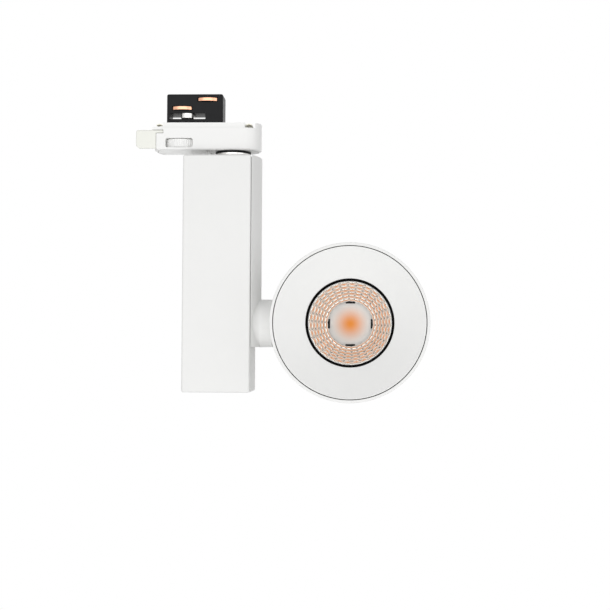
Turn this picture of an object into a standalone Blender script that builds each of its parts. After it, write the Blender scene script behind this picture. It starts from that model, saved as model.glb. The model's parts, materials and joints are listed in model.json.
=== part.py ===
"""Track spotlight: a track adapter, a swivelling driver box with a side arm, and a tilting lamp head.

Metres, +Z up. The origin is on the swivel axis, in the plane where the adapter's shoulder meets the track.
The lamp faces -Y, and the head hangs beside the driver box, on its +X side.
"""

import math

import bmesh
import bpy
from mathutils import Matrix, Vector

MM = 0.001

# Clearances
FIT = 0.3 * MM
RUNNING_GAP = 0.4 * MM

# Adapter housing
ADAPTER_WIDTH = 23.0 * MM
ADAPTER_HEIGHT = 17.3 * MM
ADAPTER_LEFT = 47.5 * MM
ADAPTER_RIGHT = 18.0 * MM
ADAPTER_END_FLAT = 0.5 * MM
ADAPTER_EDGE = 1.6 * MM
ADAPTER_WALL = 2.0 * MM
SHOULDER_LEFT = 43.7 * MM
SHOULDER_RIGHT = 8.1 * MM
SHOULDER_HEIGHT = 3.3 * MM
SHOULDER_INSET = 0.8 * MM
END_POST_LENGTH = 3.5 * MM
RAMP_LENGTH = 6.5 * MM
RAMP_HEIGHT = 2.2 * MM
RAMP_END = 1.6 * MM
COVER_THICKNESS = 1.6 * MM
COVER_SCREW_X = -14.6 * MM
COVER_SCREW_INSET = 5.9 * MM
WIRE_WAY_WALL = 0.5 * MM

# Locking lever, its shaft and its cam
LEVER_PIVOT = 28.5 * MM
LEVER_LENGTH = 12.8 * MM
LEVER_TOP = 4.8 * MM
LEVER_PLATE = 1.7 * MM
LEVER_HEIGHT = 11.6 * MM
LEVER_STEP = 0.6 * MM
LEVER_HUB_RADIUS = 8.5 * MM
LEVER_CORNER = 2.0 * MM
LEVER_BLADE = 1.5 * MM
SHAFT_RADIUS = 3.0 * MM
CAM_LENGTH = 22.0 * MM
CAM_WIDTH = 8.0 * MM
CAM_THICKNESS = 3.0 * MM
CAM_LIFT = 3.0 * MM

# Tongue that enters the track, and its contacts
TONGUE_LEFT = 41.5 * MM
TONGUE_RIGHT = 6.0 * MM
TONGUE_WIDTH = 16.4 * MM
TONGUE_HEIGHT = 18.5 * MM
TONGUE_SINK = 1.5 * MM
TONGUE_EDGE = 1.2 * MM
CONTACT_LENGTH = 12.0 * MM
CONTACT_RISE = 2.2 * MM
CONTACT_STRIP = 0.8 * MM
CONTACT_BREADTH = 2.0 * MM
CONTACT_LOW = 9.5 * MM
CONTACT_HIGH = 15.0 * MM
CONTACT_SPREAD = 16.0 * MM
CONTACT_POCKET = 1.5 * MM
EARTH_MARGIN = 3.5 * MM
EARTH_STRIP = 0.6 * MM
EARTH_REACH = 4.0 * MM

# Circuit selector wheel
WHEEL_X = -33.2 * MM
WHEEL_SETBACK = 0.6 * MM
WHEEL_HEIGHT = 5.3 * MM
WHEEL_RIBS = 48
RIB_DEPTH = 0.6 * MM
STUD_RADIUS = 3.0 * MM
WINDOW_WIDTH = 17.3 * MM
WINDOW_CORNER = 1.4 * MM

# Swivel between the adapter and the driver box
NIPPLE_RADIUS = 5.0 * MM
NIPPLE_BORE = 3.5 * MM
NIPPLE_END = 1.4 * MM
NUT_FLATS = 14.0 * MM
NUT_HEIGHT = 4.0 * MM
DISC_SETBACK = 0.2 * MM
DISC_THICKNESS = 0.7 * MM
COLLAR_SETBACK = 0.9 * MM
COLLAR_HEIGHT = 2.7 * MM
WASHER_RADIUS = 9.0 * MM
WASHER_THICKNESS = 1.0 * MM

# Driver box
BOX_WIDTH = 42.2 * MM
BOX_DEPTH = 42.0 * MM
BOX_HEIGHT = 147.1 * MM
BOX_CENTRE_X = -8.1 * MM
BOX_EDGE = 1.8 * MM
BOX_WALL = 2.0 * MM
REAR_COVER_THICKNESS = 2.0 * MM
BOSS_RADIUS = 4.0 * MM
BOSS_INSET = 3.0 * MM
SCREW_RADIUS = 1.3 * MM
SCREW_LENGTH = 8.0 * MM
SCREW_HEAD_RADIUS = 2.6 * MM
SCREW_HEAD_HEIGHT = 1.4 * MM

# Driver board and what stands on it
BOARD_THICKNESS = 1.6 * MM
BOARD_WIDTH = 34.0 * MM
BOARD_HEIGHT = 118.0 * MM
STANDOFF_HEIGHT = 4.5 * MM
STANDOFF_RADIUS = 2.5 * MM
STANDOFF_INSET = 5.0 * MM
COMPONENT_EDGE = 0.8 * MM
TRANSFORMER_SIZE = (22.0 * MM, 16.0 * MM, 20.0 * MM)
WINDING_WIDTH = 13.0 * MM
WINDING_PROUD = 2.5 * MM
WINDING_MARGIN = 3.0 * MM
CHOKE_RADIUS = 7.5 * MM
CHOKE_WAIST = 5.5 * MM
CHOKE_FLANGE = 2.0 * MM
CHOKE_HEIGHT = 12.0 * MM
CHOKE_LIFT = 18.0 * MM
TERMINAL_SIZE = (20.0 * MM, 12.0 * MM, 10.0 * MM)
TERMINAL_WAYS = 3
WIRE_WAY_SIDE = 4.0 * MM
WIRE_WAY_DEPTH = 6.0 * MM
CAPACITOR_RADIUS = 5.5 * MM
CAPACITOR_HEIGHT = 16.0 * MM
CAPACITOR_CRIMP = 0.6 * MM
CAPACITOR_CRIMP_TOP = 3.0 * MM

# Side arm and tilt joint
ARM_RISE = 5.0 * MM
ARM_EDGE = 0.3 * MM
ARM_TOP_ROUND = 1.5 * MM
ARM_SCREW_UPPER = 22.0 * MM
ARM_SCREW_LOWER = 76.0 * MM
ARM_SCREW_DEPTH = 3.9 * MM
TILT_DROP = 104.0 * MM
STUB_RADIUS = 15.0 * MM
TILT_WASHER_THICKNESS = 0.8 * MM
TILT_WASHER_RADIUS = 13.5 * MM
BOLT_RADIUS = 6.0 * MM
BOLT_BORE = 4.0 * MM
BOLT_FLANGE_RADIUS = 9.0 * MM
BOLT_FLANGE_HEIGHT = 2.5 * MM
BOLT_END = 1.2 * MM
SPRING_WASHER_RADIUS = 9.0 * MM
SPRING_WASHER_THICKNESS = 1.0 * MM
SPRING_WASHER_DISH = 0.5 * MM
TILT_NUT_FLATS = 17.0 * MM
TILT_NUT_HEIGHT = 5.0 * MM

# Lamp head barrel
HEAD_RADIUS = 48.0 * MM
HEAD_FORWARD = 43.0 * MM
HEAD_BACK = 47.0 * MM
HEAD_GAP = 8.3 * MM
HEAD_WALL = 3.0 * MM
LIP_WALL = 1.7 * MM
LIP_DEPTH = 15.0 * MM
RIM_ROUND = 0.5 * MM
PIVOT_BOSS_PROUD = 0.6 * MM
PIVOT_BOSS_INSIDE = 2.0 * MM

# Funnel bezel, baffle ring and reflector
BEZEL_GAP = 0.6 * MM
BEZEL_DEPTH = 12.0 * MM
BEZEL_WALL = 1.8 * MM
BEZEL_HOLE_RADIUS = 27.0 * MM
BAFFLE_DEPTH = 4.7 * MM
BAFFLE_FRONT_EDGE = 0.5 * MM
BAFFLE_TAPER = 0.7 * MM
BAFFLE_FLANGE = 3.3 * MM
BAFFLE_FLANGE_THICKNESS = 2.0 * MM
REFLECTOR_DEPTH = 25.7 * MM
REFLECTOR_NECK_RADIUS = 14.0 * MM
REFLECTOR_WALL = 1.2 * MM
REFLECTOR_FLANGE_THICKNESS = 1.0 * MM
REFLECTOR_COLUMNS = 30
REFLECTOR_ROWS = 6

# Light source
DIFFUSER_THICKNESS = 1.5 * MM
CLIP_WALL = 0.6 * MM
CLIP_TAB_THICKNESS = 0.8 * MM
CLIP_TAB_LENGTH = 6.0 * MM
CLIP_TAB_REACH = 1.2 * MM
CLIP_TAB_PROUD = 0.2 * MM
CLIP_TABS = 4
HOLDER_RADIUS = 21.5 * MM
HOLDER_HEIGHT = 4.1 * MM
HOLDER_HOLE_RADIUS = 8.0 * MM
HOLDER_FLARE = 3.0 * MM
HOLDER_SCREW_OFFSET = 18.4 * MM
HOLDER_SCREW_HEAD = 2.0 * MM
LED_BOARD_SIDE = 20.0 * MM
LED_BOARD_THICKNESS = 1.0 * MM
PHOSPHOR_RADIUS = 6.0 * MM
PHOSPHOR_THICKNESS = 0.6 * MM

# Heat sink
PEDESTAL_RADIUS = 23.0 * MM
PEDESTAL_HEIGHT = 4.0 * MM
SINK_BASE = 5.0 * MM
SINK_HUB_RADIUS = 16.0 * MM
FIN_COUNT = 24
FIN_THICKNESS = 2.0 * MM
FIN_SETBACK = 3.0 * MM
SINK_SCREW_INSET = 3.5 * MM
LUG_RADIUS = 4.5 * MM
LUG_HEIGHT = 6.0 * MM

# Facet counts of round pieces
LARGE_ROUND = 48
MEDIUM_ROUND = 24
SMALL_ROUND = 12

# Levels and places that follow from the sizes above
ADAPTER_END_RADIUS = ADAPTER_WIDTH / 2 - ADAPTER_END_FLAT
ADAPTER_UNDERSIDE = -ADAPTER_HEIGHT
COVER_TOP = ADAPTER_UNDERSIDE + COVER_THICKNESS
COVER_SCREW_Y = ADAPTER_WIDTH / 2 - COVER_SCREW_INSET
WIRE_WAY_HALF = COVER_SCREW_Y - SCREW_RADIUS - FIT - WIRE_WAY_WALL
EARTH_WIDTH = ADAPTER_WIDTH - 2 * EARTH_MARGIN
WHEEL_RADIUS = ADAPTER_WIDTH / 2 - WHEEL_SETBACK
WHEEL_BOTTOM = COVER_TOP + FIT
WHEEL_TOP = WHEEL_BOTTOM + WHEEL_HEIGHT
CAVITY_ROOF = WHEEL_TOP + FIT
LEVER_FLOOR = -LEVER_TOP - LEVER_PLATE - FIT
LEVER_ROOF = -LEVER_TOP + FIT
LEVER_STEP_X = -SHOULDER_LEFT + LEVER_STEP
BLADE_START = ADAPTER_LEFT - LEVER_PIVOT + FIT
BLADE_SWEEP = math.hypot(BLADE_START, ADAPTER_WIDTH / 2 - LEVER_BLADE) - RUNNING_GAP
DISC_RADIUS = ADAPTER_WIDTH / 2 - DISC_SETBACK
COLLAR_RADIUS = ADAPTER_WIDTH / 2 - COLLAR_SETBACK
DISC_TOP = ADAPTER_UNDERSIDE - FIT
COLLAR_TOP = DISC_TOP - DISC_THICKNESS - FIT
BOX_TOP = COLLAR_TOP - COLLAR_HEIGHT - FIT
BOX_BOTTOM = BOX_TOP - BOX_HEIGHT
BOX_LEFT = BOX_CENTRE_X - BOX_WIDTH / 2
BOX_RIGHT = BOX_CENTRE_X + BOX_WIDTH / 2
BOX_FRONT = -BOX_DEPTH / 2
BOX_BACK = BOX_DEPTH / 2
TILT_Z = BOX_TOP - TILT_DROP
ARM_BACK_X = BOX_RIGHT + FIT
ARM_FACE_X = ARM_BACK_X + ARM_RISE
HEAD_SIDE_X = ARM_FACE_X + HEAD_GAP
HEAD_X = HEAD_SIDE_X + HEAD_RADIUS
BOSS_FACE_X = HEAD_SIDE_X - PIVOT_BOSS_PROUD
STUB_END_X = BOSS_FACE_X - TILT_WASHER_THICKNESS - 2 * FIT
BARREL_BORE = HEAD_RADIUS - HEAD_WALL
BOSS_INNER_X = HEAD_X - BARREL_BORE + PIVOT_BOSS_INSIDE
LEDGE_Z = HEAD_FORWARD - LIP_DEPTH
BEZEL_RADIUS = HEAD_RADIUS - LIP_WALL - BEZEL_GAP
BEZEL_HOLE_Z = HEAD_FORWARD - BEZEL_DEPTH
BAFFLE_RADIUS = BEZEL_HOLE_RADIUS - FIT
BAFFLE_EXIT_RADIUS = BAFFLE_RADIUS - BAFFLE_FRONT_EDGE - BAFFLE_TAPER
BAFFLE_BACK_Z = BEZEL_HOLE_Z - BAFFLE_DEPTH
FLANGE_RADIUS = BAFFLE_RADIUS + BAFFLE_FLANGE
REFLECTOR_TOP_Z = BAFFLE_BACK_Z - FIT
REFLECTOR_NECK_Z = REFLECTOR_TOP_Z - REFLECTOR_DEPTH
CLIP_TOP_Z = REFLECTOR_NECK_Z - FIT
DIFFUSER_TOP_Z = CLIP_TOP_Z - CLIP_TAB_THICKNESS - FIT
DIFFUSER_RADIUS = REFLECTOR_NECK_RADIUS + REFLECTOR_WALL
HOLDER_TOP_Z = DIFFUSER_TOP_Z - DIFFUSER_THICKNESS - FIT
HOLDER_BACK_Z = HOLDER_TOP_Z - HOLDER_HEIGHT
PEDESTAL_Z = HOLDER_BACK_Z - FIT
SINK_FACE_Z = PEDESTAL_Z - PEDESTAL_HEIGHT
FIN_ROOT_Z = SINK_FACE_Z - SINK_BASE
FIN_END_Z = -HEAD_BACK + FIN_SETBACK
SINK_RADIUS = BARREL_BORE - FIT
SINK_SCREW_CIRCLE = BARREL_BORE - SINK_SCREW_INSET

SHARP_ANGLE = math.radians(35)
MERGE_DISTANCE = 0.00001
FACING_VIEWER = (math.pi / 2, 0.0, 0.0)
TOWARDS_REAR = (-math.pi / 2, 0.0, 0.0)
TOWARDS_RIGHT = (0.0, math.pi / 2, 0.0)
AXIS_TURN = {
    "X": Matrix.Rotation(math.pi / 2, 4, "Y"),
    "Y": Matrix.Rotation(-math.pi / 2, 4, "X"),
    "Z": Matrix.Identity(4),
}


def clear_scene():
    """Remove every object that the file opened with."""
    for item in list(bpy.data.objects):
        bpy.data.objects.remove(item, do_unlink=True)


def new_collection(name):
    collection = bpy.data.collections.new(name)
    bpy.context.scene.collection.children.link(collection)
    return collection


def finish(name, colour, roughness, metallic=0.0):
    """A Principled material of one colour."""
    material = bpy.data.materials.new(name)
    material.use_nodes = True
    shader = material.node_tree.nodes["Principled BSDF"]
    shader.inputs["Base Color"].default_value = (*colour, 1.0)
    shader.inputs["Roughness"].default_value = roughness
    shader.inputs["Metallic"].default_value = metallic
    return material


def axis_point(name, location):
    """An empty on a joint's axis, which carries the pieces that turn about it."""
    empty = bpy.data.objects.new(name, None)
    empty.location = location
    PARTS.objects.link(empty)
    return empty


def to_mesh(name, bm):
    bmesh.ops.recalc_face_normals(bm, faces=bm.faces)
    mesh = bpy.data.meshes.new(name)
    bm.to_mesh(mesh)
    bm.free()
    mesh.shade_smooth()
    mesh.set_sharp_from_angle(angle=SHARP_ANGLE)
    return mesh


def piece(name, mesh, material, carrier=None, rotation=(0.0, 0.0, 0.0)):
    """A visible piece in the parts collection, placed by the empty that carries it."""
    thing = bpy.data.objects.new(name, mesh)
    thing.rotation_euler = rotation
    thing.parent = carrier
    mesh.materials.append(material)
    PARTS.objects.link(thing)
    return thing


def helper(name, mesh, carrier=None, rotation=(0.0, 0.0, 0.0)):
    """A shape that only cuts or joins other pieces."""
    thing = bpy.data.objects.new(name, mesh)
    thing.rotation_euler = rotation
    thing.parent = carrier
    thing.hide_render = True
    thing.display_type = "WIRE"
    CUTTERS.objects.link(thing)
    return thing


def combine(thing, operation, tools):
    for tool in tools:
        modifier = thing.modifiers.new(tool.name, "BOOLEAN")
        modifier.operation = operation
        modifier.object = tool


def cut(thing, *tools):
    combine(thing, "DIFFERENCE", tools)


def join(thing, *tools):
    combine(thing, "UNION", tools)


def block_mesh(name, low, high):
    """A box between two corners."""
    low = Vector(low)
    high = Vector(high)
    bm = bmesh.new()
    place = Matrix.Translation((low + high) / 2) @ Matrix.Diagonal((*(high - low), 1.0))
    bmesh.ops.create_cube(bm, size=1.0, matrix=place)
    return to_mesh(name, bm)


def rod_mesh(name, radius, start, end, axis="Z", facets=SMALL_ROUND, end_radius=None):
    """A cylinder, or a cone where the second end has its own radius, between two points on an axis."""
    start = Vector(start)
    end = Vector(end)
    bm = bmesh.new()
    bmesh.ops.create_cone(
        bm,
        cap_ends=True,
        segments=facets,
        radius1=radius,
        radius2=radius if end_radius is None else end_radius,
        depth=(end - start).length,
        matrix=Matrix.Translation((start + end) / 2) @ AXIS_TURN[axis],
    )
    return to_mesh(name, bm)


def prism_bmesh(outline, bottom, top):
    """An outline in the XY plane, extruded between two heights."""
    bm = bmesh.new()
    face = bm.faces.new([bm.verts.new((x, y, bottom)) for x, y in outline])
    grown = bmesh.ops.extrude_face_region(bm, geom=[face])
    risen = [item for item in grown["geom"] if isinstance(item, bmesh.types.BMVert)]
    bmesh.ops.translate(bm, verts=risen, vec=(0.0, 0.0, top - bottom))
    bmesh.ops.recalc_face_normals(bm, faces=bm.faces)
    return bm


def prism_mesh(name, outline, bottom, top):
    return to_mesh(name, prism_bmesh(outline, bottom, top))


def round_edges(bm, width, segments, chosen):
    """Round the edges that a test chooses."""
    edges = [edge for edge in bm.edges if chosen(edge)]
    bmesh.ops.bevel(
        bm, geom=edges, offset=width, segments=segments, profile=0.5, affect="EDGES", clamp_overlap=True
    )


def turned(
    name,
    profile,
    material,
    carrier=None,
    rotation=(0.0, 0.0, 0.0),
    facets=LARGE_ROUND,
    smooth=True,
    ring=True,
):
    """A profile of (radius, height) points, from the top down its outer side, turned about local Z."""
    bm = bmesh.new()
    points = [bm.verts.new((radius, 0.0, height)) for radius, height in profile]
    for first, second in zip(points, points[1:]):
        bm.edges.new((first, second))
    if ring:
        bm.edges.new((points[-1], points[0]))
    mesh = bpy.data.meshes.new(name)
    bm.to_mesh(mesh)
    bm.free()
    thing = piece(name, mesh, material, carrier, rotation)
    screw = thing.modifiers.new("turn", "SCREW")
    screw.steps = facets
    screw.render_steps = facets
    screw.use_merge_vertices = True
    screw.merge_threshold = MERGE_DISTANCE
    screw.use_smooth_shade = smooth
    return thing


def tube_profile(outer, inner, bottom, top):
    return [(outer, top), (outer, bottom), (inner, bottom), (inner, top)]


def arc(centre, radius, start, end, steps):
    """Points on a circle between two angles in degrees."""
    points = []
    for step in range(steps + 1):
        angle = math.radians(start + (end - start) * step / steps)
        points.append((centre[0] + radius * math.cos(angle), centre[1] + radius * math.sin(angle)))
    return points


def hexagon(flats, centre=(0.0, 0.0)):
    radius = flats / math.sqrt(3)
    return arc(centre, radius, 0, 300, 5)


def screw_profile(head_radius, head_height, radius, length):
    """A countersunk screw, head up, with the head's flat face at height zero."""
    return [
        (0.0, 0.0),
        (head_radius, 0.0),
        (radius, -head_height),
        (radius, -length),
        (0.0, -length),
    ]


def adapter_outline(inset):
    """The adapter in plan: straight sides, a rounded right end, a left end clear of the lever's swing."""
    half = ADAPTER_WIDTH / 2 - inset
    corner_x = ADAPTER_RIGHT - ADAPTER_END_RADIUS
    corner_y = ADAPTER_WIDTH / 2 - ADAPTER_END_RADIUS
    corner = ADAPTER_END_RADIUS - inset
    sweep = BLADE_SWEEP - inset
    flat = ADAPTER_LEFT - LEVER_PIVOT - inset
    side_turn = math.degrees(math.asin(half / sweep))
    flat_turn = math.degrees(math.acos(flat / sweep))
    points = arc((corner_x, -corner_y), corner, -90, 0, 8)
    points += arc((corner_x, corner_y), corner, 0, 90, 8)
    points += arc((-LEVER_PIVOT, 0.0), sweep, 180 - side_turn, 180 + flat_turn, 10)
    points.append((inset - ADAPTER_LEFT, -half))
    return points


def build_adapter_housing():
    half = ADAPTER_WIDTH / 2
    beyond = ADAPTER_LEFT + ADAPTER_WIDTH
    bm = prism_bmesh(adapter_outline(0.0), ADAPTER_UNDERSIDE, 0.0)
    lowest = ADAPTER_UNDERSIDE + MERGE_DISTANCE
    round_edges(bm, ADAPTER_EDGE, 3, lambda edge: all(v.co.z < lowest for v in edge.verts))
    housing = piece("adapter_housing", to_mesh("adapter_housing", bm), WHITE_PLASTIC)

    lever_room = block_mesh(
        "lever_room", (-beyond, -half - FIT, LEVER_FLOOR), (-SHOULDER_LEFT, half + FIT, half)
    )
    lever_step = block_mesh(
        "lever_step",
        (-SHOULDER_LEFT - FIT, -half - FIT, LEVER_FLOOR),
        (LEVER_STEP_X, half + FIT, LEVER_ROOF),
    )
    lever_slot = block_mesh(
        "lever_slot",
        (LEVER_STEP_X - FIT, -LEVER_HUB_RADIUS - RUNNING_GAP, LEVER_FLOOR),
        (-LEVER_PIVOT + half + RUNNING_GAP, half + FIT, LEVER_ROOF),
    )
    rebates = [
        block_mesh(
            "shoulder_rebate",
            (-beyond, min(side * (half - SHOULDER_INSET), side * ADAPTER_WIDTH), -SHOULDER_HEIGHT),
            (SHOULDER_RIGHT + FIT, max(side * (half - SHOULDER_INSET), side * ADAPTER_WIDTH), half),
        )
        for side in (-1, 1)
    ]
    post_notch = block_mesh(
        "post_notch",
        (SHOULDER_RIGHT, -half - FIT, -SHOULDER_HEIGHT),
        (ADAPTER_RIGHT - END_POST_LENGTH, half + FIT, half),
    )
    cover_seat = prism_mesh(
        "cover_seat", adapter_outline(ADAPTER_WALL), ADAPTER_UNDERSIDE - FIT, COVER_TOP + FIT
    )
    wheel_room = rod_mesh(
        "wheel_room",
        WHEEL_RADIUS + RUNNING_GAP,
        (WHEEL_X, 0.0, COVER_TOP),
        (WHEEL_X, 0.0, CAVITY_ROOF),
        facets=LARGE_ROUND,
    )
    nut_room = rod_mesh(
        "nut_room",
        NUT_FLATS / math.sqrt(3) + 4 * FIT,
        (0.0, 0.0, COVER_TOP - FIT),
        (0.0, 0.0, CAVITY_ROOF),
        facets=MEDIUM_ROUND,
    )
    wire_way = block_mesh(
        "wire_way", (WHEEL_X, -WIRE_WAY_HALF, COVER_TOP - FIT), (0.0, WIRE_WAY_HALF, CAVITY_ROOF)
    )
    tongue_seat = block_mesh(
        "tongue_seat",
        (-TONGUE_LEFT - FIT, -TONGUE_WIDTH / 2 - FIT, -TONGUE_SINK),
        (-TONGUE_RIGHT + FIT, TONGUE_WIDTH / 2 + FIT, TONGUE_SINK),
    )
    shaft_hole = rod_mesh(
        "shaft_hole", SHAFT_RADIUS + FIT, (-LEVER_PIVOT, 0.0, LEVER_FLOOR), (-LEVER_PIVOT, 0.0, TONGUE_SINK)
    )
    window = block_mesh(
        "selector_window",
        (WHEEL_X - WINDOW_WIDTH / 2, -ADAPTER_WIDTH, COVER_TOP),
        (WHEEL_X + WINDOW_WIDTH / 2, ADAPTER_WIDTH, CAVITY_ROOF),
    )
    tools = [lever_room, lever_step, lever_slot, post_notch, cover_seat, wheel_room, nut_room, wire_way]
    tools += [tongue_seat, shaft_hole, *rebates]
    cut(housing, *[helper(mesh.name, mesh) for mesh in tools])
    window_cutter = helper("selector_window", window)
    corner = window_cutter.modifiers.new("corner", "BEVEL")
    corner.width = WINDOW_CORNER
    corner.segments = 2
    cut(housing, window_cutter)
    for side in (-1, 1):
        hole = rod_mesh(
            "cover_screw_hole",
            SCREW_RADIUS + FIT,
            (COVER_SCREW_X, side * COVER_SCREW_Y, COVER_TOP - FIT),
            (COVER_SCREW_X, side * COVER_SCREW_Y, CAVITY_ROOF),
        )
        cut(housing, helper("cover_screw_hole", hole))

    stud = rod_mesh(
        "wheel_stud", STUD_RADIUS, (WHEEL_X, 0.0, COVER_TOP + FIT), (WHEEL_X, 0.0, CAVITY_ROOF + FIT)
    )
    ramp_outline = [
        (-SHOULDER_LEFT - RAMP_LENGTH, LEVER_ROOF),
        (-SHOULDER_LEFT + LEVER_STEP / 2, LEVER_ROOF),
        (-SHOULDER_LEFT + LEVER_STEP / 2, LEVER_ROOF + RAMP_HEIGHT),
        (-SHOULDER_LEFT, LEVER_ROOF + RAMP_HEIGHT),
        (-SHOULDER_LEFT - RAMP_LENGTH, LEVER_ROOF + RAMP_END),
    ]
    ramp = prism_mesh("lever_ramp", ramp_outline, -half, half)
    ramp.transform(Matrix.Rotation(math.pi / 2, 4, "X"))
    join(housing, helper("wheel_stud", stud), helper("lever_ramp", ramp))


def build_adapter_cover():
    outline = adapter_outline(ADAPTER_WALL + FIT)
    mesh = prism_mesh("adapter_cover", outline, ADAPTER_UNDERSIDE, COVER_TOP)
    cover = piece("adapter_cover", mesh, WHITE_PLASTIC)
    hole = rod_mesh(
        "cover_nipple_hole",
        NIPPLE_RADIUS + FIT,
        (0.0, 0.0, ADAPTER_UNDERSIDE - FIT),
        (0.0, 0.0, COVER_TOP + FIT),
        facets=MEDIUM_ROUND,
    )
    cut(cover, helper("cover_nipple_hole", hole))
    for index, side in enumerate((-1, 1), start=1):
        place = Vector((COVER_SCREW_X, side * COVER_SCREW_Y, ADAPTER_UNDERSIDE))
        cut(cover, countersink("cover_sink", place, (0.0, 0.0, 1.0), COVER_THICKNESS))
        add_screw(f"cover_screw_{index}", place, (0.0, 0.0, -1.0), CAVITY_ROOF - ADAPTER_UNDERSIDE - FIT)


def countersink(name, place, inwards, thickness, carrier=None):
    """A cutter for a countersunk hole through a plate, whose outer face is at the given place."""
    head = SCREW_HEAD_RADIUS + FIT
    profile_depth = SCREW_HEAD_HEIGHT + FIT
    shank = SCREW_RADIUS + FIT
    turn = Vector((0.0, 0.0, 1.0)).rotation_difference(Vector(inwards)).to_matrix().to_4x4()
    bm = bmesh.new()
    outline = [(0.0, -FIT), (head, -FIT), (head, 0.0), (shank, profile_depth), (shank, thickness + FIT)]
    outline.append((0.0, thickness + FIT))
    points = [bm.verts.new((radius, 0.0, height)) for radius, height in outline]
    for first, second in zip(points, points[1:]):
        bm.edges.new((first, second))
    bmesh.ops.spin(
        bm,
        geom=bm.verts[:] + bm.edges[:],
        cent=(0.0, 0.0, 0.0),
        axis=(0.0, 0.0, 1.0),
        angle=math.tau,
        steps=SMALL_ROUND,
    )
    bmesh.ops.remove_doubles(bm, verts=bm.verts, dist=MERGE_DISTANCE)
    mesh = to_mesh(name, bm)
    mesh.transform(Matrix.Translation(place) @ turn)
    return helper(name, mesh, carrier)


def add_screw(name, place, outwards, length, carrier=None):
    """A countersunk screw whose head is flush with the given place and faces outwards."""
    turn = Vector((0.0, 0.0, 1.0)).rotation_difference(Vector(outwards)).to_euler()
    profile = screw_profile(SCREW_HEAD_RADIUS, SCREW_HEAD_HEIGHT, SCREW_RADIUS, length)
    thing = turned(name, profile, STEEL, carrier, turn, facets=SMALL_ROUND, ring=False)
    thing.location = place
    return thing


def build_lever():
    """Lever, shaft and cam share the pivot's axis, so their local origin is on it."""
    pivot = axis_point("lever_axis", (-LEVER_PIVOT, 0.0, 0.0))
    half = ADAPTER_WIDTH / 2
    outer_x = LEVER_PIVOT - ADAPTER_LEFT - LEVER_LENGTH
    step_x = LEVER_STEP_X + LEVER_PIVOT - FIT
    plate_outline = arc((outer_x + LEVER_CORNER, half - LEVER_CORNER), LEVER_CORNER, 90, 180, 4)
    plate_outline += [(outer_x, -half), (step_x, -half), (step_x, -LEVER_HUB_RADIUS)]
    plate_outline += arc((0.0, 0.0), LEVER_HUB_RADIUS, -90, 90, 10)
    plate_outline += [(step_x, LEVER_HUB_RADIUS), (step_x, half)]
    plate = prism_mesh("lock_lever", plate_outline, -LEVER_TOP - LEVER_PLATE, -LEVER_TOP)
    lever = piece("lock_lever", plate, CREAM_PLASTIC, pivot)

    blade_bottom = -LEVER_TOP - LEVER_HEIGHT
    blade_top = -LEVER_TOP - LEVER_PLATE / 2
    blade_outline = arc((outer_x + LEVER_CORNER, blade_bottom + LEVER_CORNER), LEVER_CORNER, 180, 270, 4)
    blade_outline += [(-BLADE_START, blade_bottom), (-BLADE_START, blade_top), (outer_x, blade_top)]
    blade = prism_mesh("lever_blade", blade_outline, half - LEVER_BLADE, half)
    blade.transform(Matrix.Rotation(math.pi / 2, 4, "X"))
    join(lever, helper("lever_blade", blade, pivot))

    shaft_bottom = -LEVER_TOP - LEVER_PLATE
    shaft_top = CAM_LIFT + CAM_THICKNESS
    hole = rod_mesh(
        "lever_hub_hole", SHAFT_RADIUS + FIT, (0.0, 0.0, shaft_bottom - FIT), (0.0, 0.0, FIT - LEVER_TOP)
    )
    cut(lever, helper("lever_hub_hole", hole, pivot))
    shaft = rod_mesh("lock_shaft", SHAFT_RADIUS, (0.0, 0.0, shaft_bottom), (0.0, 0.0, shaft_top))
    piece("lock_shaft", shaft, STEEL, pivot)

    tip = CAM_WIDTH / 2
    straight = CAM_LENGTH / 2 - tip
    outline = arc((0.0, straight), tip, 0, 180, 8) + arc((0.0, -straight), tip, 180, 360, 8)
    cam = piece("lock_cam", prism_mesh("lock_cam", outline, CAM_LIFT, shaft_top), STEEL, pivot)
    cam_hole = rod_mesh(
        "cam_hole", SHAFT_RADIUS + FIT, (0.0, 0.0, CAM_LIFT - FIT), (0.0, 0.0, shaft_top + FIT)
    )
    cut(cam, helper("cam_hole", cam_hole, pivot))


def contact_places():
    """Two circuits in front, one and the neutral behind: (name, side, x, height) of each contact."""
    middle = -(TONGUE_LEFT + TONGUE_RIGHT) / 2
    left = middle - CONTACT_SPREAD / 2
    right = middle + CONTACT_SPREAD / 2
    return (
        ("contact_circuit_1", -1, left, CONTACT_LOW),
        ("contact_circuit_2", -1, right, CONTACT_HIGH),
        ("contact_circuit_3", 1, left, CONTACT_HIGH),
        ("contact_neutral", 1, right, CONTACT_LOW),
    )


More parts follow.
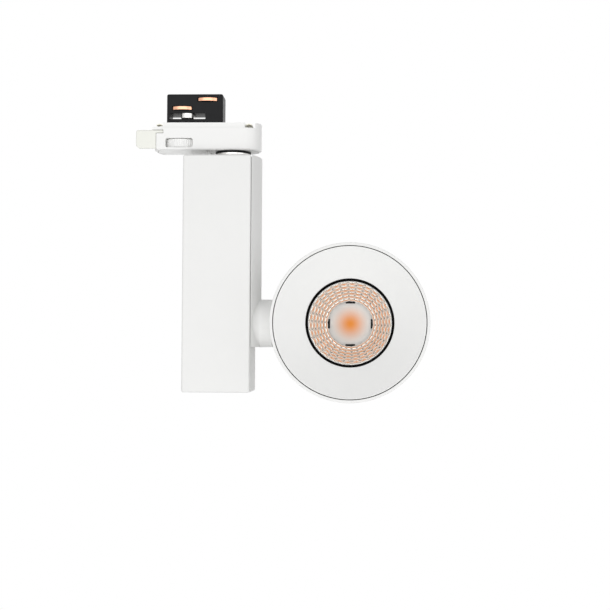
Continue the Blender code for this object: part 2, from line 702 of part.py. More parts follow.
def build_tongue():
    """A block with softened upper and upright edges, a slot for the cam and a pocket for each contact."""
    half = TONGUE_WIDTH / 2
    foot = FIT - TONGUE_SINK
    outline = [(-TONGUE_LEFT, -half), (-TONGUE_RIGHT, -half), (-TONGUE_RIGHT, half), (-TONGUE_LEFT, half)]
    bm = prism_bmesh(outline, foot, TONGUE_HEIGHT)
    above = foot + MERGE_DISTANCE
    round_edges(bm, TONGUE_EDGE, 2, lambda edge: any(v.co.z > above for v in edge.verts))
    tongue = piece("track_tongue", to_mesh("track_tongue", bm), BLACK_PLASTIC)
    cam_slot = block_mesh(
        "cam_slot",
        (-LEVER_PIVOT - CAM_LENGTH / 2 - RUNNING_GAP, -TONGUE_WIDTH, CAM_LIFT - FIT),
        (-LEVER_PIVOT + CAM_LENGTH / 2 + RUNNING_GAP, TONGUE_WIDTH, CAM_LIFT + CAM_THICKNESS + FIT),
    )
    shaft_way = rod_mesh(
        "tongue_shaft_way",
        SHAFT_RADIUS + FIT,
        (-LEVER_PIVOT, 0.0, -TONGUE_SINK),
        (-LEVER_PIVOT, 0.0, CAM_LIFT),
    )
    cut(tongue, helper("cam_slot", cam_slot), helper("tongue_shaft_way", shaft_way))
    along = CONTACT_LENGTH / 2 + FIT
    across = CONTACT_BREADTH / 2 + FIT
    for name, side, x, level in contact_places():
        floor = side * (half - CONTACT_POCKET)
        outside = side * (half + FIT)
        pocket = block_mesh(
            f"{name}_pocket",
            (x - along, min(floor, outside), level - across),
            (x + along, max(floor, outside), level + across),
        )
        cut(tongue, helper(f"{name}_pocket", pocket))


def bowed_strip(length, rise, strip):
    """A bowed leaf in plan: two arcs on one chord, with the ends against the chord."""
    radius = (length * length / 4 + rise * rise) / (2 * rise)
    reach = math.degrees(math.asin(length / 2 / radius))
    centre = (0.0, rise - radius)
    outer = arc(centre, radius, 90 - reach, 90 + reach, 8)
    inner = arc(centre, radius - strip, 90 + reach, 90 - reach, 8)
    lift = -min(y for _, y in inner)
    return [(x, y + lift) for x, y in outer + inner]


def build_contacts():
    """Sprung leaves that bow out of their pockets on both sides of the tongue."""
    outline = bowed_strip(CONTACT_LENGTH, CONTACT_RISE, CONTACT_STRIP)
    seat = TONGUE_WIDTH / 2 - CONTACT_POCKET + FIT
    for name, side, x, level in contact_places():
        strip = [(x + along, side * (seat + out)) for along, out in outline]
        mesh = prism_mesh(name, strip, level - CONTACT_BREADTH / 2, level + CONTACT_BREADTH / 2)
        piece(name, mesh, COPPER)


def build_earth_springs():
    """Leaves that stand in the two notches beside the shoulder and press on the track."""
    foot = -SHOULDER_HEIGHT / 2
    springs = (
        ("earth_spring_left", -SHOULDER_LEFT - FIT, -1),
        ("earth_spring_right", SHOULDER_RIGHT + FIT, 1),
    )
    for name, root, way in springs:
        tip = root + way * EARTH_REACH
        bend = root + way * EARTH_REACH / 2
        outline = [
            (root, foot),
            (root, foot + EARTH_STRIP),
            (bend, -FIT),
            (tip, -FIT - EARTH_STRIP),
            (tip, -FIT - 2 * EARTH_STRIP),
            (bend, -FIT - EARTH_STRIP),
        ]
        mesh = prism_mesh(name, outline, -EARTH_WIDTH / 2, EARTH_WIDTH / 2)
        mesh.transform(Matrix.Rotation(math.pi / 2, 4, "X"))
        piece(name, mesh, BRASS)


def build_selector_wheel():
    axis = axis_point("selector_axis", (WHEEL_X, 0.0, 0.0))
    outline = []
    for rib in range(WHEEL_RIBS):
        for part, radius in ((0.0, WHEEL_RADIUS), (0.5, WHEEL_RADIUS - RIB_DEPTH)):
            angle = math.tau * (rib + part) / WHEEL_RIBS
            outline.append((radius * math.cos(angle), radius * math.sin(angle)))
    mesh = prism_mesh("selector_wheel", outline, WHEEL_BOTTOM, WHEEL_TOP)
    wheel = piece("selector_wheel", mesh, WHITE_PLASTIC, axis)
    hole = rod_mesh(
        "wheel_hole", STUD_RADIUS + FIT, (0.0, 0.0, WHEEL_BOTTOM - FIT), (0.0, 0.0, WHEEL_TOP + FIT)
    )
    cut(wheel, helper("wheel_hole", hole, axis))


def add_nut(name, flats, height, bore, place, rotation, carrier=None):
    """A hexagon nut whose lower face is at the given place on its own axis."""
    nut = piece(name, prism_mesh(name, hexagon(flats), 0.0, height), STEEL, carrier, rotation)
    nut.location = place
    hole = helper(
        f"{name}_bore",
        rod_mesh(name, bore, (0.0, 0.0, -FIT), (0.0, 0.0, height + FIT), facets=MEDIUM_ROUND),
        carrier,
        rotation,
    )
    hole.location = place
    cut(nut, hole)


def build_swivel():
    upper_nut = COVER_TOP + FIT
    washer_top = BOX_TOP - BOX_WALL - FIT
    lower_nut = washer_top - WASHER_THICKNESS - FIT - NUT_HEIGHT
    nipple = tube_profile(
        NIPPLE_RADIUS, NIPPLE_BORE, lower_nut - NIPPLE_END, min(upper_nut + NUT_HEIGHT, CAVITY_ROOF) - FIT
    )
    turned("swivel_nipple", nipple, STEEL, facets=MEDIUM_ROUND)
    passage = NIPPLE_RADIUS + FIT
    disc = tube_profile(DISC_RADIUS, passage, DISC_TOP - DISC_THICKNESS, DISC_TOP)
    turned("friction_disc", disc, BLACK_PLASTIC, facets=MEDIUM_ROUND)
    collar = tube_profile(COLLAR_RADIUS, passage, COLLAR_TOP - COLLAR_HEIGHT, COLLAR_TOP)
    turned("swivel_collar", collar, STEEL, facets=MEDIUM_ROUND)
    washer = tube_profile(WASHER_RADIUS, passage, washer_top - WASHER_THICKNESS, washer_top)
    turned("swivel_washer", washer, STEEL, facets=MEDIUM_ROUND)
    add_nut("nipple_nut_upper", NUT_FLATS, NUT_HEIGHT, passage, (0.0, 0.0, upper_nut), (0.0, 0.0, 0.0))
    add_nut("nipple_nut_lower", NUT_FLATS, NUT_HEIGHT, passage, (0.0, 0.0, lower_nut), (0.0, 0.0, 0.0))


def box_corners():
    """The four inner corners of the driver box, where the cover screws go: (x, z) pairs."""
    inset = BOX_WALL + BOSS_INSET
    return [
        (x, z)
        for x in (BOX_LEFT + inset, BOX_RIGHT - inset)
        for z in (BOX_BOTTOM + inset, BOX_TOP - inset)
    ]


def build_driver_box(axis):
    bm = bmesh.new()
    size = Vector((BOX_WIDTH, BOX_DEPTH, BOX_HEIGHT))
    centre = Vector((BOX_CENTRE_X, 0.0, (BOX_TOP + BOX_BOTTOM) / 2))
    bmesh.ops.create_cube(bm, size=1.0, matrix=Matrix.Translation(centre) @ Matrix.Diagonal((*size, 1.0)))
    rear = BOX_BACK - MERGE_DISTANCE
    round_edges(bm, BOX_EDGE, 3, lambda edge: not all(v.co.y > rear for v in edge.verts))
    housing = piece("driver_housing", to_mesh("driver_housing", bm), WHITE_PAINT, axis)

    hollow = block_mesh(
        "box_hollow",
        (BOX_LEFT + BOX_WALL, BOX_FRONT + BOX_WALL, BOX_BOTTOM + BOX_WALL),
        (BOX_RIGHT - BOX_WALL, BOX_BACK + BOX_WALL, BOX_TOP - BOX_WALL),
    )
    nipple_hole = rod_mesh(
        "box_nipple_hole",
        NIPPLE_RADIUS + FIT,
        (0.0, 0.0, BOX_TOP - 2 * BOX_WALL),
        (0.0, 0.0, BOX_TOP + FIT),
        facets=MEDIUM_ROUND,
    )
    bolt_hole = rod_mesh(
        "box_bolt_hole",
        BOLT_RADIUS + FIT,
        (BOX_RIGHT - 2 * BOX_WALL, 0.0, TILT_Z),
        (BOX_RIGHT + FIT, 0.0, TILT_Z),
        axis="X",
        facets=MEDIUM_ROUND,
    )
    cut(housing, *[helper(mesh.name, mesh, axis) for mesh in (hollow, nipple_hole, bolt_hole)])

    boss_start = BOX_BACK - SCREW_LENGTH - BOX_WALL
    boss_end = BOX_BACK - REAR_COVER_THICKNESS - FIT
    for x, z in box_corners():
        boss = rod_mesh("cover_boss", BOSS_RADIUS, (x, boss_start, z), (x, boss_end, z), axis="Y")
        join(housing, helper("cover_boss", boss, axis))
    for x, z in box_corners():
        hole = rod_mesh(
            "boss_hole",
            SCREW_RADIUS + FIT,
            (x, BOX_BACK - SCREW_LENGTH - FIT, z),
            (x, BOX_BACK, z),
            axis="Y",
        )
        cut(housing, helper("boss_hole", hole, axis))
    for drop in (ARM_SCREW_UPPER, ARM_SCREW_LOWER):
        place = (BOX_RIGHT - BOX_WALL, 0.0, BOX_TOP - drop)
        cut(housing, countersink("arm_screw_sink", place, (1.0, 0.0, 0.0), BOX_WALL, axis))


def build_rear_cover(axis):
    inset = BOX_WALL + FIT
    mesh = block_mesh(
        "rear_cover",
        (BOX_LEFT + inset, BOX_BACK - REAR_COVER_THICKNESS, BOX_BOTTOM + inset),
        (BOX_RIGHT - inset, BOX_BACK, BOX_TOP - inset),
    )
    cover = piece("rear_cover", mesh, WHITE_PAINT, axis)
    for index, (x, z) in enumerate(box_corners(), start=1):
        place = (x, BOX_BACK, z)
        cut(cover, countersink("rear_cover_sink", place, (0.0, -1.0, 0.0), REAR_COVER_THICKNESS, axis))
        add_screw(f"rear_cover_screw_{index}", place, (0.0, 1.0, 0.0), SCREW_LENGTH, axis)


def build_driver_board(axis):
    """The board stands on the front wall, with its components towards the rear cover."""
    wall = BOX_FRONT + BOX_WALL
    board_front = wall + STANDOFF_HEIGHT + 2 * FIT
    board_back = board_front + BOARD_THICKNESS
    middle_z = (BOX_TOP + BOX_BOTTOM) / 2
    left = BOX_CENTRE_X - BOARD_WIDTH / 2
    top = middle_z + BOARD_HEIGHT / 2
    bottom = middle_z - BOARD_HEIGHT / 2
    low = (left, board_front, bottom)
    high = (left + BOARD_WIDTH, board_back, top)
    piece("driver_board", block_mesh("driver_board", low, high), BOARD_GREEN, axis)

    corners = [
        (x, z)
        for x in (left + STANDOFF_INSET, left + BOARD_WIDTH - STANDOFF_INSET)
        for z in (bottom + STANDOFF_INSET, top - STANDOFF_INSET)
    ]
    for index, (x, z) in enumerate(corners, start=1):
        start = (x, wall + FIT, z)
        end = (x, wall + FIT + STANDOFF_HEIGHT, z)
        mesh = rod_mesh(f"board_standoff_{index}", STANDOFF_RADIUS, start, end, axis="Y")
        piece(f"board_standoff_{index}", mesh, BRASS, axis)

    seat = board_back + FIT
    build_terminal_block(axis, seat, top - STANDOFF_INSET - STANDOFF_RADIUS)
    build_choke(axis, seat, middle_z + CHOKE_LIFT)
    build_transformer(axis, seat, middle_z - TRANSFORMER_SIZE[2] / 2)
    build_capacitors(axis, seat, bottom + STANDOFF_INSET + STANDOFF_RADIUS + CAPACITOR_RADIUS)


def soften(thing):
    """Take the edges off a component on the board."""
    edge = thing.modifiers.new("edge", "BEVEL")
    edge.width = COMPONENT_EDGE
    edge.segments = 1


def build_terminal_block(axis, seat, top):
    """A block with a row of wire entries in its upper face."""
    width, depth, height = TERMINAL_SIZE
    left = BOX_CENTRE_X - width / 2
    low = (left, seat, top - height)
    high = (left + width, seat + depth, top)
    block = piece("terminal_block", block_mesh("terminal_block", low, high), GREY_PLASTIC, axis)
    soften(block)
    pitch = width / TERMINAL_WAYS
    middle_y = seat + depth / 2
    for way in range(TERMINAL_WAYS):
        x = left + pitch * (way + 0.5)
        entry = block_mesh(
            "wire_entry",
            (x - WIRE_WAY_SIDE / 2, middle_y - WIRE_WAY_SIDE / 2, top - WIRE_WAY_DEPTH),
            (x + WIRE_WAY_SIDE / 2, middle_y + WIRE_WAY_SIDE / 2, top + FIT),
        )
        cut(block, helper("wire_entry", entry, axis))


def build_choke(axis, seat, z):
    """A drum core: two flanges and a wound waist, standing on the board."""
    profile = [
        (0.0, CHOKE_HEIGHT),
        (CHOKE_RADIUS, CHOKE_HEIGHT),
        (CHOKE_RADIUS, CHOKE_HEIGHT - CHOKE_FLANGE),
        (CHOKE_WAIST, CHOKE_HEIGHT - CHOKE_FLANGE),
        (CHOKE_WAIST, CHOKE_FLANGE),
        (CHOKE_RADIUS, CHOKE_FLANGE),
        (CHOKE_RADIUS, 0.0),
        (0.0, 0.0),
    ]
    choke = turned("choke", profile, DARK_FERRITE, axis, TOWARDS_REAR, facets=SMALL_ROUND, ring=False)
    choke.location = (BOX_CENTRE_X, seat, z)


def build_transformer(axis, seat, z):
    """A core with its winding standing proud above and below."""
    width, depth, height = TRANSFORMER_SIZE
    low = (BOX_CENTRE_X - width / 2, seat, z - height / 2)
    high = (BOX_CENTRE_X + width / 2, seat + depth, z + height / 2)
    core = piece("transformer", block_mesh("transformer", low, high), DARK_FERRITE, axis)
    soften(core)
    reach = height / 2 + WINDING_PROUD
    winding = block_mesh(
        "winding",
        (BOX_CENTRE_X - WINDING_WIDTH / 2, seat + WINDING_MARGIN, z - reach),
        (BOX_CENTRE_X + WINDING_WIDTH / 2, seat + depth - WINDING_MARGIN, z + reach),
    )
    tool = helper("winding", winding, axis)
    soften(tool)
    join(core, tool)


def build_capacitors(axis, seat, z):
    """Two cans side by side, each with a crimp near its foot and a softened end."""
    profile = [
        (0.0, CAPACITOR_HEIGHT),
        (CAPACITOR_RADIUS - COMPONENT_EDGE, CAPACITOR_HEIGHT),
        (CAPACITOR_RADIUS, CAPACITOR_HEIGHT - COMPONENT_EDGE),
        (CAPACITOR_RADIUS, CAPACITOR_CRIMP_TOP),
        (CAPACITOR_RADIUS - CAPACITOR_CRIMP, CAPACITOR_CRIMP_TOP - CAPACITOR_CRIMP),
        (CAPACITOR_RADIUS, CAPACITOR_CRIMP_TOP - 2 * CAPACITOR_CRIMP),
        (CAPACITOR_RADIUS, 0.0),
        (0.0, 0.0),
    ]
    for index, side in enumerate((-1, 1), start=1):
        can = turned(
            f"capacitor_{index}",
            profile,
            CAPACITOR_SLEEVE,
            axis,
            TOWARDS_REAR,
            facets=SMALL_ROUND,
            ring=False,
        )
        can.location = (BOX_CENTRE_X + side * (CAPACITOR_RADIUS + 2 * FIT), seat, z)


def arm_outline(grow):
    """The arm in plan: flat against the box, with narrow edges and a bowed outer face."""
    half = BOX_DEPTH / 2 - BOX_EDGE
    rise = ARM_RISE - ARM_EDGE
    radius = (half * half + rise * rise) / (2 * rise)
    centre = (ARM_FACE_X - radius, 0.0)
    reach = math.degrees(math.asin(half / radius))
    points = [(ARM_BACK_X - grow, half), (ARM_BACK_X - grow, -half)]
    return points + arc(centre, radius + grow, -reach, reach, 14)


def build_side_arm(axis):
    bottom = TILT_Z - STUB_RADIUS
    bm = prism_bmesh(arm_outline(0.0), bottom, BOX_TOP)
    highest = BOX_TOP - MERGE_DISTANCE
    bowed = ARM_BACK_X + MERGE_DISTANCE
    round_edges(
        bm, ARM_TOP_ROUND, 2, lambda edge: all(v.co.z > highest and v.co.x > bowed for v in edge.verts)
    )
    arm = piece("side_arm", to_mesh("side_arm", bm), WHITE_PAINT, axis)
    hole = rod_mesh(
        "arm_bolt_hole",
        BOLT_RADIUS + FIT,
        (ARM_BACK_X - FIT, 0.0, TILT_Z),
        (ARM_FACE_X + FIT, 0.0, TILT_Z),
        axis="X",
        facets=MEDIUM_ROUND,
    )
    cut(arm, helper("arm_bolt_hole", hole, axis))
    for index, drop in enumerate((ARM_SCREW_UPPER, ARM_SCREW_LOWER), start=1):
        z = BOX_TOP - drop
        blind = rod_mesh(
            "arm_blind_hole",
            SCREW_RADIUS + FIT,
            (ARM_BACK_X - FIT, 0.0, z),
            (ARM_BACK_X + ARM_SCREW_DEPTH, 0.0, z),
            axis="X",
        )
        cut(arm, helper("arm_blind_hole", blind, axis))
        length = BOX_WALL + ARM_SCREW_DEPTH
        add_screw(f"arm_screw_{index}", (BOX_RIGHT - BOX_WALL, 0.0, z), (-1.0, 0.0, 0.0), length, axis)


def build_pivot_stub(axis):
    start = (ARM_BACK_X, 0.0, TILT_Z)
    end = (STUB_END_X, 0.0, TILT_Z)
    mesh = rod_mesh("pivot_stub", STUB_RADIUS, start, end, axis="X", facets=LARGE_ROUND)
    stub = piece("pivot_stub", mesh, WHITE_PAINT, axis)
    bore = rod_mesh(
        "stub_bore",
        BOLT_RADIUS + FIT,
        (ARM_BACK_X - FIT, 0.0, TILT_Z),
        (STUB_END_X + FIT, 0.0, TILT_Z),
        axis="X",
        facets=MEDIUM_ROUND,
    )
    saddle = prism_mesh("arm_saddle", arm_outline(FIT), TILT_Z - 2 * STUB_RADIUS, TILT_Z + 2 * STUB_RADIUS)
    cut(stub, helper("arm_saddle", saddle, axis), helper("stub_bore", bore, axis))


def build_tilt_joint(axis, head):
    passage = BOLT_RADIUS + FIT
    flange_x = BOSS_INNER_X + FIT - HEAD_X
    inner_wall_x = BOX_RIGHT - BOX_WALL - FIT - HEAD_X
    washer_back = inner_wall_x - SPRING_WASHER_THICKNESS
    nut_x = washer_back - SPRING_WASHER_DISH - FIT - TILT_NUT_HEIGHT
    bolt = [
        (BOLT_FLANGE_RADIUS, flange_x + BOLT_FLANGE_HEIGHT),
        (BOLT_FLANGE_RADIUS, flange_x),
        (BOLT_RADIUS, flange_x),
        (BOLT_RADIUS, nut_x - BOLT_END),
        (BOLT_BORE, nut_x - BOLT_END),
        (BOLT_BORE, flange_x + BOLT_FLANGE_HEIGHT),
    ]
    turned("tilt_bolt", bolt, STEEL, head, TOWARDS_RIGHT, facets=MEDIUM_ROUND)
    spring = [
        (SPRING_WASHER_RADIUS, inner_wall_x),
        (SPRING_WASHER_RADIUS, washer_back),
        (passage, washer_back - SPRING_WASHER_DISH),
        (passage, inner_wall_x - SPRING_WASHER_DISH),
    ]
    turned("spring_washer", spring, STEEL, head, TOWARDS_RIGHT, facets=MEDIUM_ROUND)
    add_nut("tilt_nut", TILT_NUT_FLATS, TILT_NUT_HEIGHT, passage, (nut_x, 0.0, 0.0), TOWARDS_RIGHT, head)

    washer_x = STUB_END_X + FIT
    washer = tube_profile(TILT_WASHER_RADIUS, passage, washer_x, washer_x + TILT_WASHER_THICKNESS)
    thing = turned("tilt_friction_washer", washer, BLACK_PLASTIC, axis, TOWARDS_RIGHT, facets=MEDIUM_ROUND)
    thing.location = (0.0, 0.0, TILT_Z)


def sink_screw_places():
    """Three places between fins, a third of a turn apart: (x, y) about the head's axis."""
    first = 90.0 + 180.0 / FIN_COUNT
    return [arc((0.0, 0.0), SINK_SCREW_CIRCLE, first + turn, first + turn, 1)[0] for turn in (0, 120, 240)]


def build_head_barrel(head):
    lip = HEAD_RADIUS - LIP_WALL
    profile = [
        (lip + RIM_ROUND, HEAD_FORWARD),
        (HEAD_RADIUS - RIM_ROUND, HEAD_FORWARD),
        (HEAD_RADIUS, HEAD_FORWARD - RIM_ROUND),
        (HEAD_RADIUS, -HEAD_BACK + RIM_ROUND),
        (HEAD_RADIUS - RIM_ROUND, -HEAD_BACK),
        (BARREL_BORE, -HEAD_BACK),
        (BARREL_BORE, LEDGE_Z),
        (lip, LEDGE_Z),
        (lip, HEAD_FORWARD - RIM_ROUND),
    ]
    barrel = turned("head_barrel", profile, WHITE_PAINT, head, FACING_VIEWER)
    boss = rod_mesh(
        "pivot_boss",
        STUB_RADIUS,
        (BOSS_FACE_X - HEAD_X, 0.0, 0.0),
        (BOSS_INNER_X - HEAD_X, 0.0, 0.0),
        axis="X",
        facets=LARGE_ROUND,
    )
    join(barrel, helper("pivot_boss", boss, head))
    lug_top = SINK_FACE_Z + FIT + LUG_HEIGHT
    for x, y in sink_screw_places():
        lug = rod_mesh("sink_lug", LUG_RADIUS, (x, y, SINK_FACE_Z + FIT), (x, y, lug_top))
        join(barrel, helper("sink_lug", lug, head, FACING_VIEWER))
    hole = rod_mesh(
        "boss_bolt_hole",
        BOLT_RADIUS + FIT,
        (BOSS_FACE_X - HEAD_X - FIT, 0.0, 0.0),
        (BOSS_INNER_X - HEAD_X + FIT, 0.0, 0.0),
        axis="X",
        facets=MEDIUM_ROUND,
    )
    cut(barrel, helper("boss_bolt_hole", hole, head))
    for x, y in sink_screw_places():
        thread = rod_mesh(
            "lug_hole", SCREW_RADIUS + FIT, (x, y, SINK_FACE_Z), (x, y, lug_top - 2 * FIT)
        )
        cut(barrel, helper("lug_hole", thread, head, FACING_VIEWER))


def build_front_bezel(head):
    """A funnel: a shallow cone from the rim down to the baffle, and a skirt that stands on the ledge."""
    skirt = BEZEL_RADIUS - BEZEL_WALL
    slope = BEZEL_DEPTH / (BEZEL_RADIUS - BEZEL_HOLE_RADIUS)
    drop = BEZEL_WALL * math.hypot(1.0, slope)
    skirt_top = BEZEL_HOLE_Z - drop + slope * (skirt - BEZEL_HOLE_RADIUS)
    profile = [
        (BEZEL_RADIUS - RIM_ROUND, HEAD_FORWARD),
        (BEZEL_RADIUS, HEAD_FORWARD - RIM_ROUND),
        (BEZEL_RADIUS, LEDGE_Z + FIT),
        (skirt, LEDGE_Z + FIT),
        (skirt, skirt_top),
        (BEZEL_HOLE_RADIUS, BEZEL_HOLE_Z - drop),
        (BEZEL_HOLE_RADIUS, BEZEL_HOLE_Z),
    ]
    turned("front_bezel", profile, WHITE_PAINT, head, FACING_VIEWER)


def build_baffle_ring(head):
    slope = BEZEL_DEPTH / (BEZEL_RADIUS - BEZEL_HOLE_RADIUS)
    under_bezel = BEZEL_HOLE_Z - BEZEL_WALL * math.hypot(1.0, slope) - FIT
    flange_top = min(under_bezel, BAFFLE_BACK_Z + BAFFLE_FLANGE_THICKNESS)
    profile = [
        (BAFFLE_RADIUS - BAFFLE_FRONT_EDGE, BEZEL_HOLE_Z),
        (BAFFLE_RADIUS, BEZEL_HOLE_Z),
        (BAFFLE_RADIUS, flange_top),
        (FLANGE_RADIUS, flange_top),
        (FLANGE_RADIUS, BAFFLE_BACK_Z),
        (BAFFLE_EXIT_RADIUS, BAFFLE_BACK_Z),
    ]
    turned("baffle_ring", profile, BLACK_PLASTIC, head, FACING_VIEWER)


def reflector_curve(offset):
    """A parabola from the neck to the mouth: (radius, height) pairs, in equal steps of radius."""
    neck = REFLECTOR_NECK_RADIUS
    mouth = BAFFLE_EXIT_RADIUS
    points = []
    for row in range(REFLECTOR_ROWS + 1):
        radius = neck + (mouth - neck) * row / REFLECTOR_ROWS
        rise = (radius * radius - neck * neck) / (mouth * mouth - neck * neck)
        points.append((radius + offset, REFLECTOR_NECK_Z + REFLECTOR_DEPTH * rise))
    return points


def build_reflector(head):
    """Flat facets in columns and rings, on a parabolic cup with a flange at its mouth."""
    flange_back = REFLECTOR_TOP_Z - REFLECTOR_FLANGE_THICKNESS
    inner = reflector_curve(0.0)
    outer = [point for point in reflector_curve(REFLECTOR_WALL) if point[1] < flange_back]
    mouth = BAFFLE_EXIT_RADIUS + REFLECTOR_WALL
    profile = [(FLANGE_RADIUS, REFLECTOR_TOP_Z), (FLANGE_RADIUS, flange_back), (mouth, flange_back)]
    profile += outer[::-1] + inner
    turned("reflector", profile, MIRROR, head, FACING_VIEWER, facets=REFLECTOR_COLUMNS, smooth=False)


def build_light_source(head):
    diffuser = [
        (0.0, DIFFUSER_TOP_Z),
        (DIFFUSER_RADIUS, DIFFUSER_TOP_Z),
        (DIFFUSER_RADIUS, DIFFUSER_TOP_Z - DIFFUSER_THICKNESS),
        (0.0, DIFFUSER_TOP_Z - DIFFUSER_THICKNESS),
    ]
    turned("diffuser_disc", diffuser, FROSTED, head, FACING_VIEWER, facets=MEDIUM_ROUND, ring=False)
    build_diffuser_clip(head)

    holder_profile = [
        (HOLDER_RADIUS, HOLDER_TOP_Z),
        (HOLDER_RADIUS, HOLDER_BACK_Z),
        (HOLDER_HOLE_RADIUS, HOLDER_BACK_Z),
        (HOLDER_HOLE_RADIUS + HOLDER_FLARE, HOLDER_TOP_Z),
    ]
    holder = turned("led_holder", holder_profile, WHITE_PLASTIC, head, FACING_VIEWER, facets=MEDIUM_ROUND)
    side = LED_BOARD_SIDE / 2 + FIT
    pocket_top = HOLDER_BACK_Z + LED_BOARD_THICKNESS + FIT
    pocket = block_mesh("led_pocket", (-side, -side, HOLDER_BACK_Z - FIT), (side, side, pocket_top))
    cut(holder, helper("led_pocket", pocket, head, FACING_VIEWER))

    half = LED_BOARD_SIDE / 2
    board_top = HOLDER_BACK_Z + LED_BOARD_THICKNESS
    board = block_mesh("led_board", (-half, -half, HOLDER_BACK_Z), (half, half, board_top))
    piece("led_board", board, ALUMINIUM, head, FACING_VIEWER)
    phosphor_top = board_top + FIT + PHOSPHOR_THICKNESS
    phosphor = [
        (0.0, phosphor_top),
        (PHOSPHOR_RADIUS, phosphor_top),
        (PHOSPHOR_RADIUS, board_top + FIT),
        (0.0, board_top + FIT),
    ]
    turned("led_phosphor", phosphor, PHOSPHOR, head, FACING_VIEWER, facets=MEDIUM_ROUND, ring=False)

    for index, side in enumerate((-1, 1), start=1):
        x = side * HOLDER_SCREW_OFFSET
        hole = rod_mesh(
            "holder_hole",
            SCREW_RADIUS + FIT,
            (x, 0.0, HOLDER_BACK_Z - FIT),
            (x, 0.0, HOLDER_TOP_Z + FIT),
        )
        cut(holder, helper("holder_hole", hole, head, FACING_VIEWER))
        length = HOLDER_HEIGHT + PEDESTAL_HEIGHT
        add_pan_screw(f"holder_screw_{index}", (x, 0.0, HOLDER_TOP_Z + FIT), length, 1, head)


def build_diffuser_clip(head):
    """A thin ring round the diffuser, with tabs that stand proud and reach over the diffuser's edge."""
    inside = DIFFUSER_RADIUS + FIT
    foot = DIFFUSER_TOP_Z - DIFFUSER_THICKNESS
    profile = tube_profile(inside + CLIP_WALL, inside, foot, CLIP_TOP_Z - CLIP_TAB_PROUD)
    clip = turned("diffuser_clip", profile, BLACK_PLASTIC, head, FACING_VIEWER, facets=MEDIUM_ROUND)
    low = (REFLECTOR_NECK_RADIUS - CLIP_TAB_REACH, -CLIP_TAB_LENGTH / 2, CLIP_TOP_Z - CLIP_TAB_THICKNESS)
    high = (inside + CLIP_WALL + CLIP_TAB_PROUD, CLIP_TAB_LENGTH / 2, CLIP_TOP_Z)
    for tab in range(CLIP_TABS):
        mesh = block_mesh("clip_tab", low, high)
        mesh.transform(Matrix.Rotation(math.tau * tab / CLIP_TABS, 4, "Z"))
        join(clip, helper("clip_tab", mesh, head, FACING_VIEWER))


def add_pan_screw(name, place, length, way, head):
    """A pan-head screw along the head's axis, with the underside of its head at the given place."""
    x, y, z = place
    profile = [
        (0.0, SCREW_HEAD_HEIGHT),
        (HOLDER_SCREW_HEAD, SCREW_HEAD_HEIGHT),
        (HOLDER_SCREW_HEAD, 0.0),
        (SCREW_RADIUS, 0.0),
        (SCREW_RADIUS, -length),
        (0.0, -length),
    ]
    thing = turned(name, profile, STEEL, head, facets=SMALL_ROUND, ring=False)
    thing.rotation_euler = (way * math.pi / 2, 0.0, 0.0)
    thing.location = (x, -z, y)


def fin_outline():
    """A hub with radial fins, as one star-shaped outline."""
    points = []
    root_half = math.degrees(math.asin(FIN_THICKNESS / 2 / SINK_HUB_RADIUS))
    tip_half = math.degrees(math.asin(FIN_THICKNESS / 2 / SINK_RADIUS))
    for fin in range(FIN_COUNT):
        middle = 90.0 + 360.0 * fin / FIN_COUNT
        for radius, angle in (
            (SINK_HUB_RADIUS, middle - root_half),
            (SINK_RADIUS, middle - tip_half),
            (SINK_RADIUS, middle + tip_half),
            (SINK_HUB_RADIUS, middle + root_half),
        ):
            points += arc((0.0, 0.0), radius, angle, angle, 1)[:1]
    return points


def build_heat_sink(head):
    fins = prism_mesh("heat_sink", fin_outline(), FIN_END_Z, FIN_ROOT_Z + SINK_BASE / 2)
    sink = piece("heat_sink", fins, ALUMINIUM, head, FACING_VIEWER)
    base = rod_mesh(
        "sink_base", SINK_RADIUS, (0.0, 0.0, FIN_ROOT_Z), (0.0, 0.0, SINK_FACE_Z), facets=LARGE_ROUND
    )
    pedestal = rod_mesh(
        "sink_pedestal",
        PEDESTAL_RADIUS,
        (0.0, 0.0, SINK_FACE_Z - SINK_BASE / 2),
        (0.0, 0.0, PEDESTAL_Z),
        facets=MEDIUM_ROUND,
    )
    join(sink, *[helper(mesh.name, mesh, head, FACING_VIEWER) for mesh in (base, pedestal)])
    relief = rod_mesh(
        "boss_relief",
        STUB_RADIUS + FIT,
        (BOSS_FACE_X - HEAD_X, 0.0, 0.0),
        (BOSS_INNER_X - HEAD_X + FIT, 0.0, 0.0),
        axis="X",
        facets=LARGE_ROUND,
    )
    cut(sink, helper("boss_relief", relief, head))
    for side in (-1, 1):
        x = side * HOLDER_SCREW_OFFSET
        hole = rod_mesh(
            "pedestal_hole", SCREW_RADIUS + FIT, (x, 0.0, SINK_FACE_Z - FIT), (x, 0.0, PEDESTAL_Z + FIT)
        )
        cut(sink, helper("pedestal_hole", hole, head, FACING_VIEWER))
    for index, (x, y) in enumerate(sink_screw_places(), start=1):
        hole = rod_mesh(
            "sink_hole", SCREW_RADIUS + FIT, (x, y, FIN_ROOT_Z - FIT), (x, y, SINK_FACE_Z + FIT)
        )
        cut(sink, helper("sink_hole", hole, head, FACING_VIEWER))
        length = SINK_BASE + LUG_HEIGHT - FIT
        add_pan_screw(f"sink_screw_{index}", (x, y, FIN_ROOT_Z - FIT), length, -1, head)


clear_scene()
PARTS = new_collection("track_spotlight")
CUTTERS = new_collection("cutters")

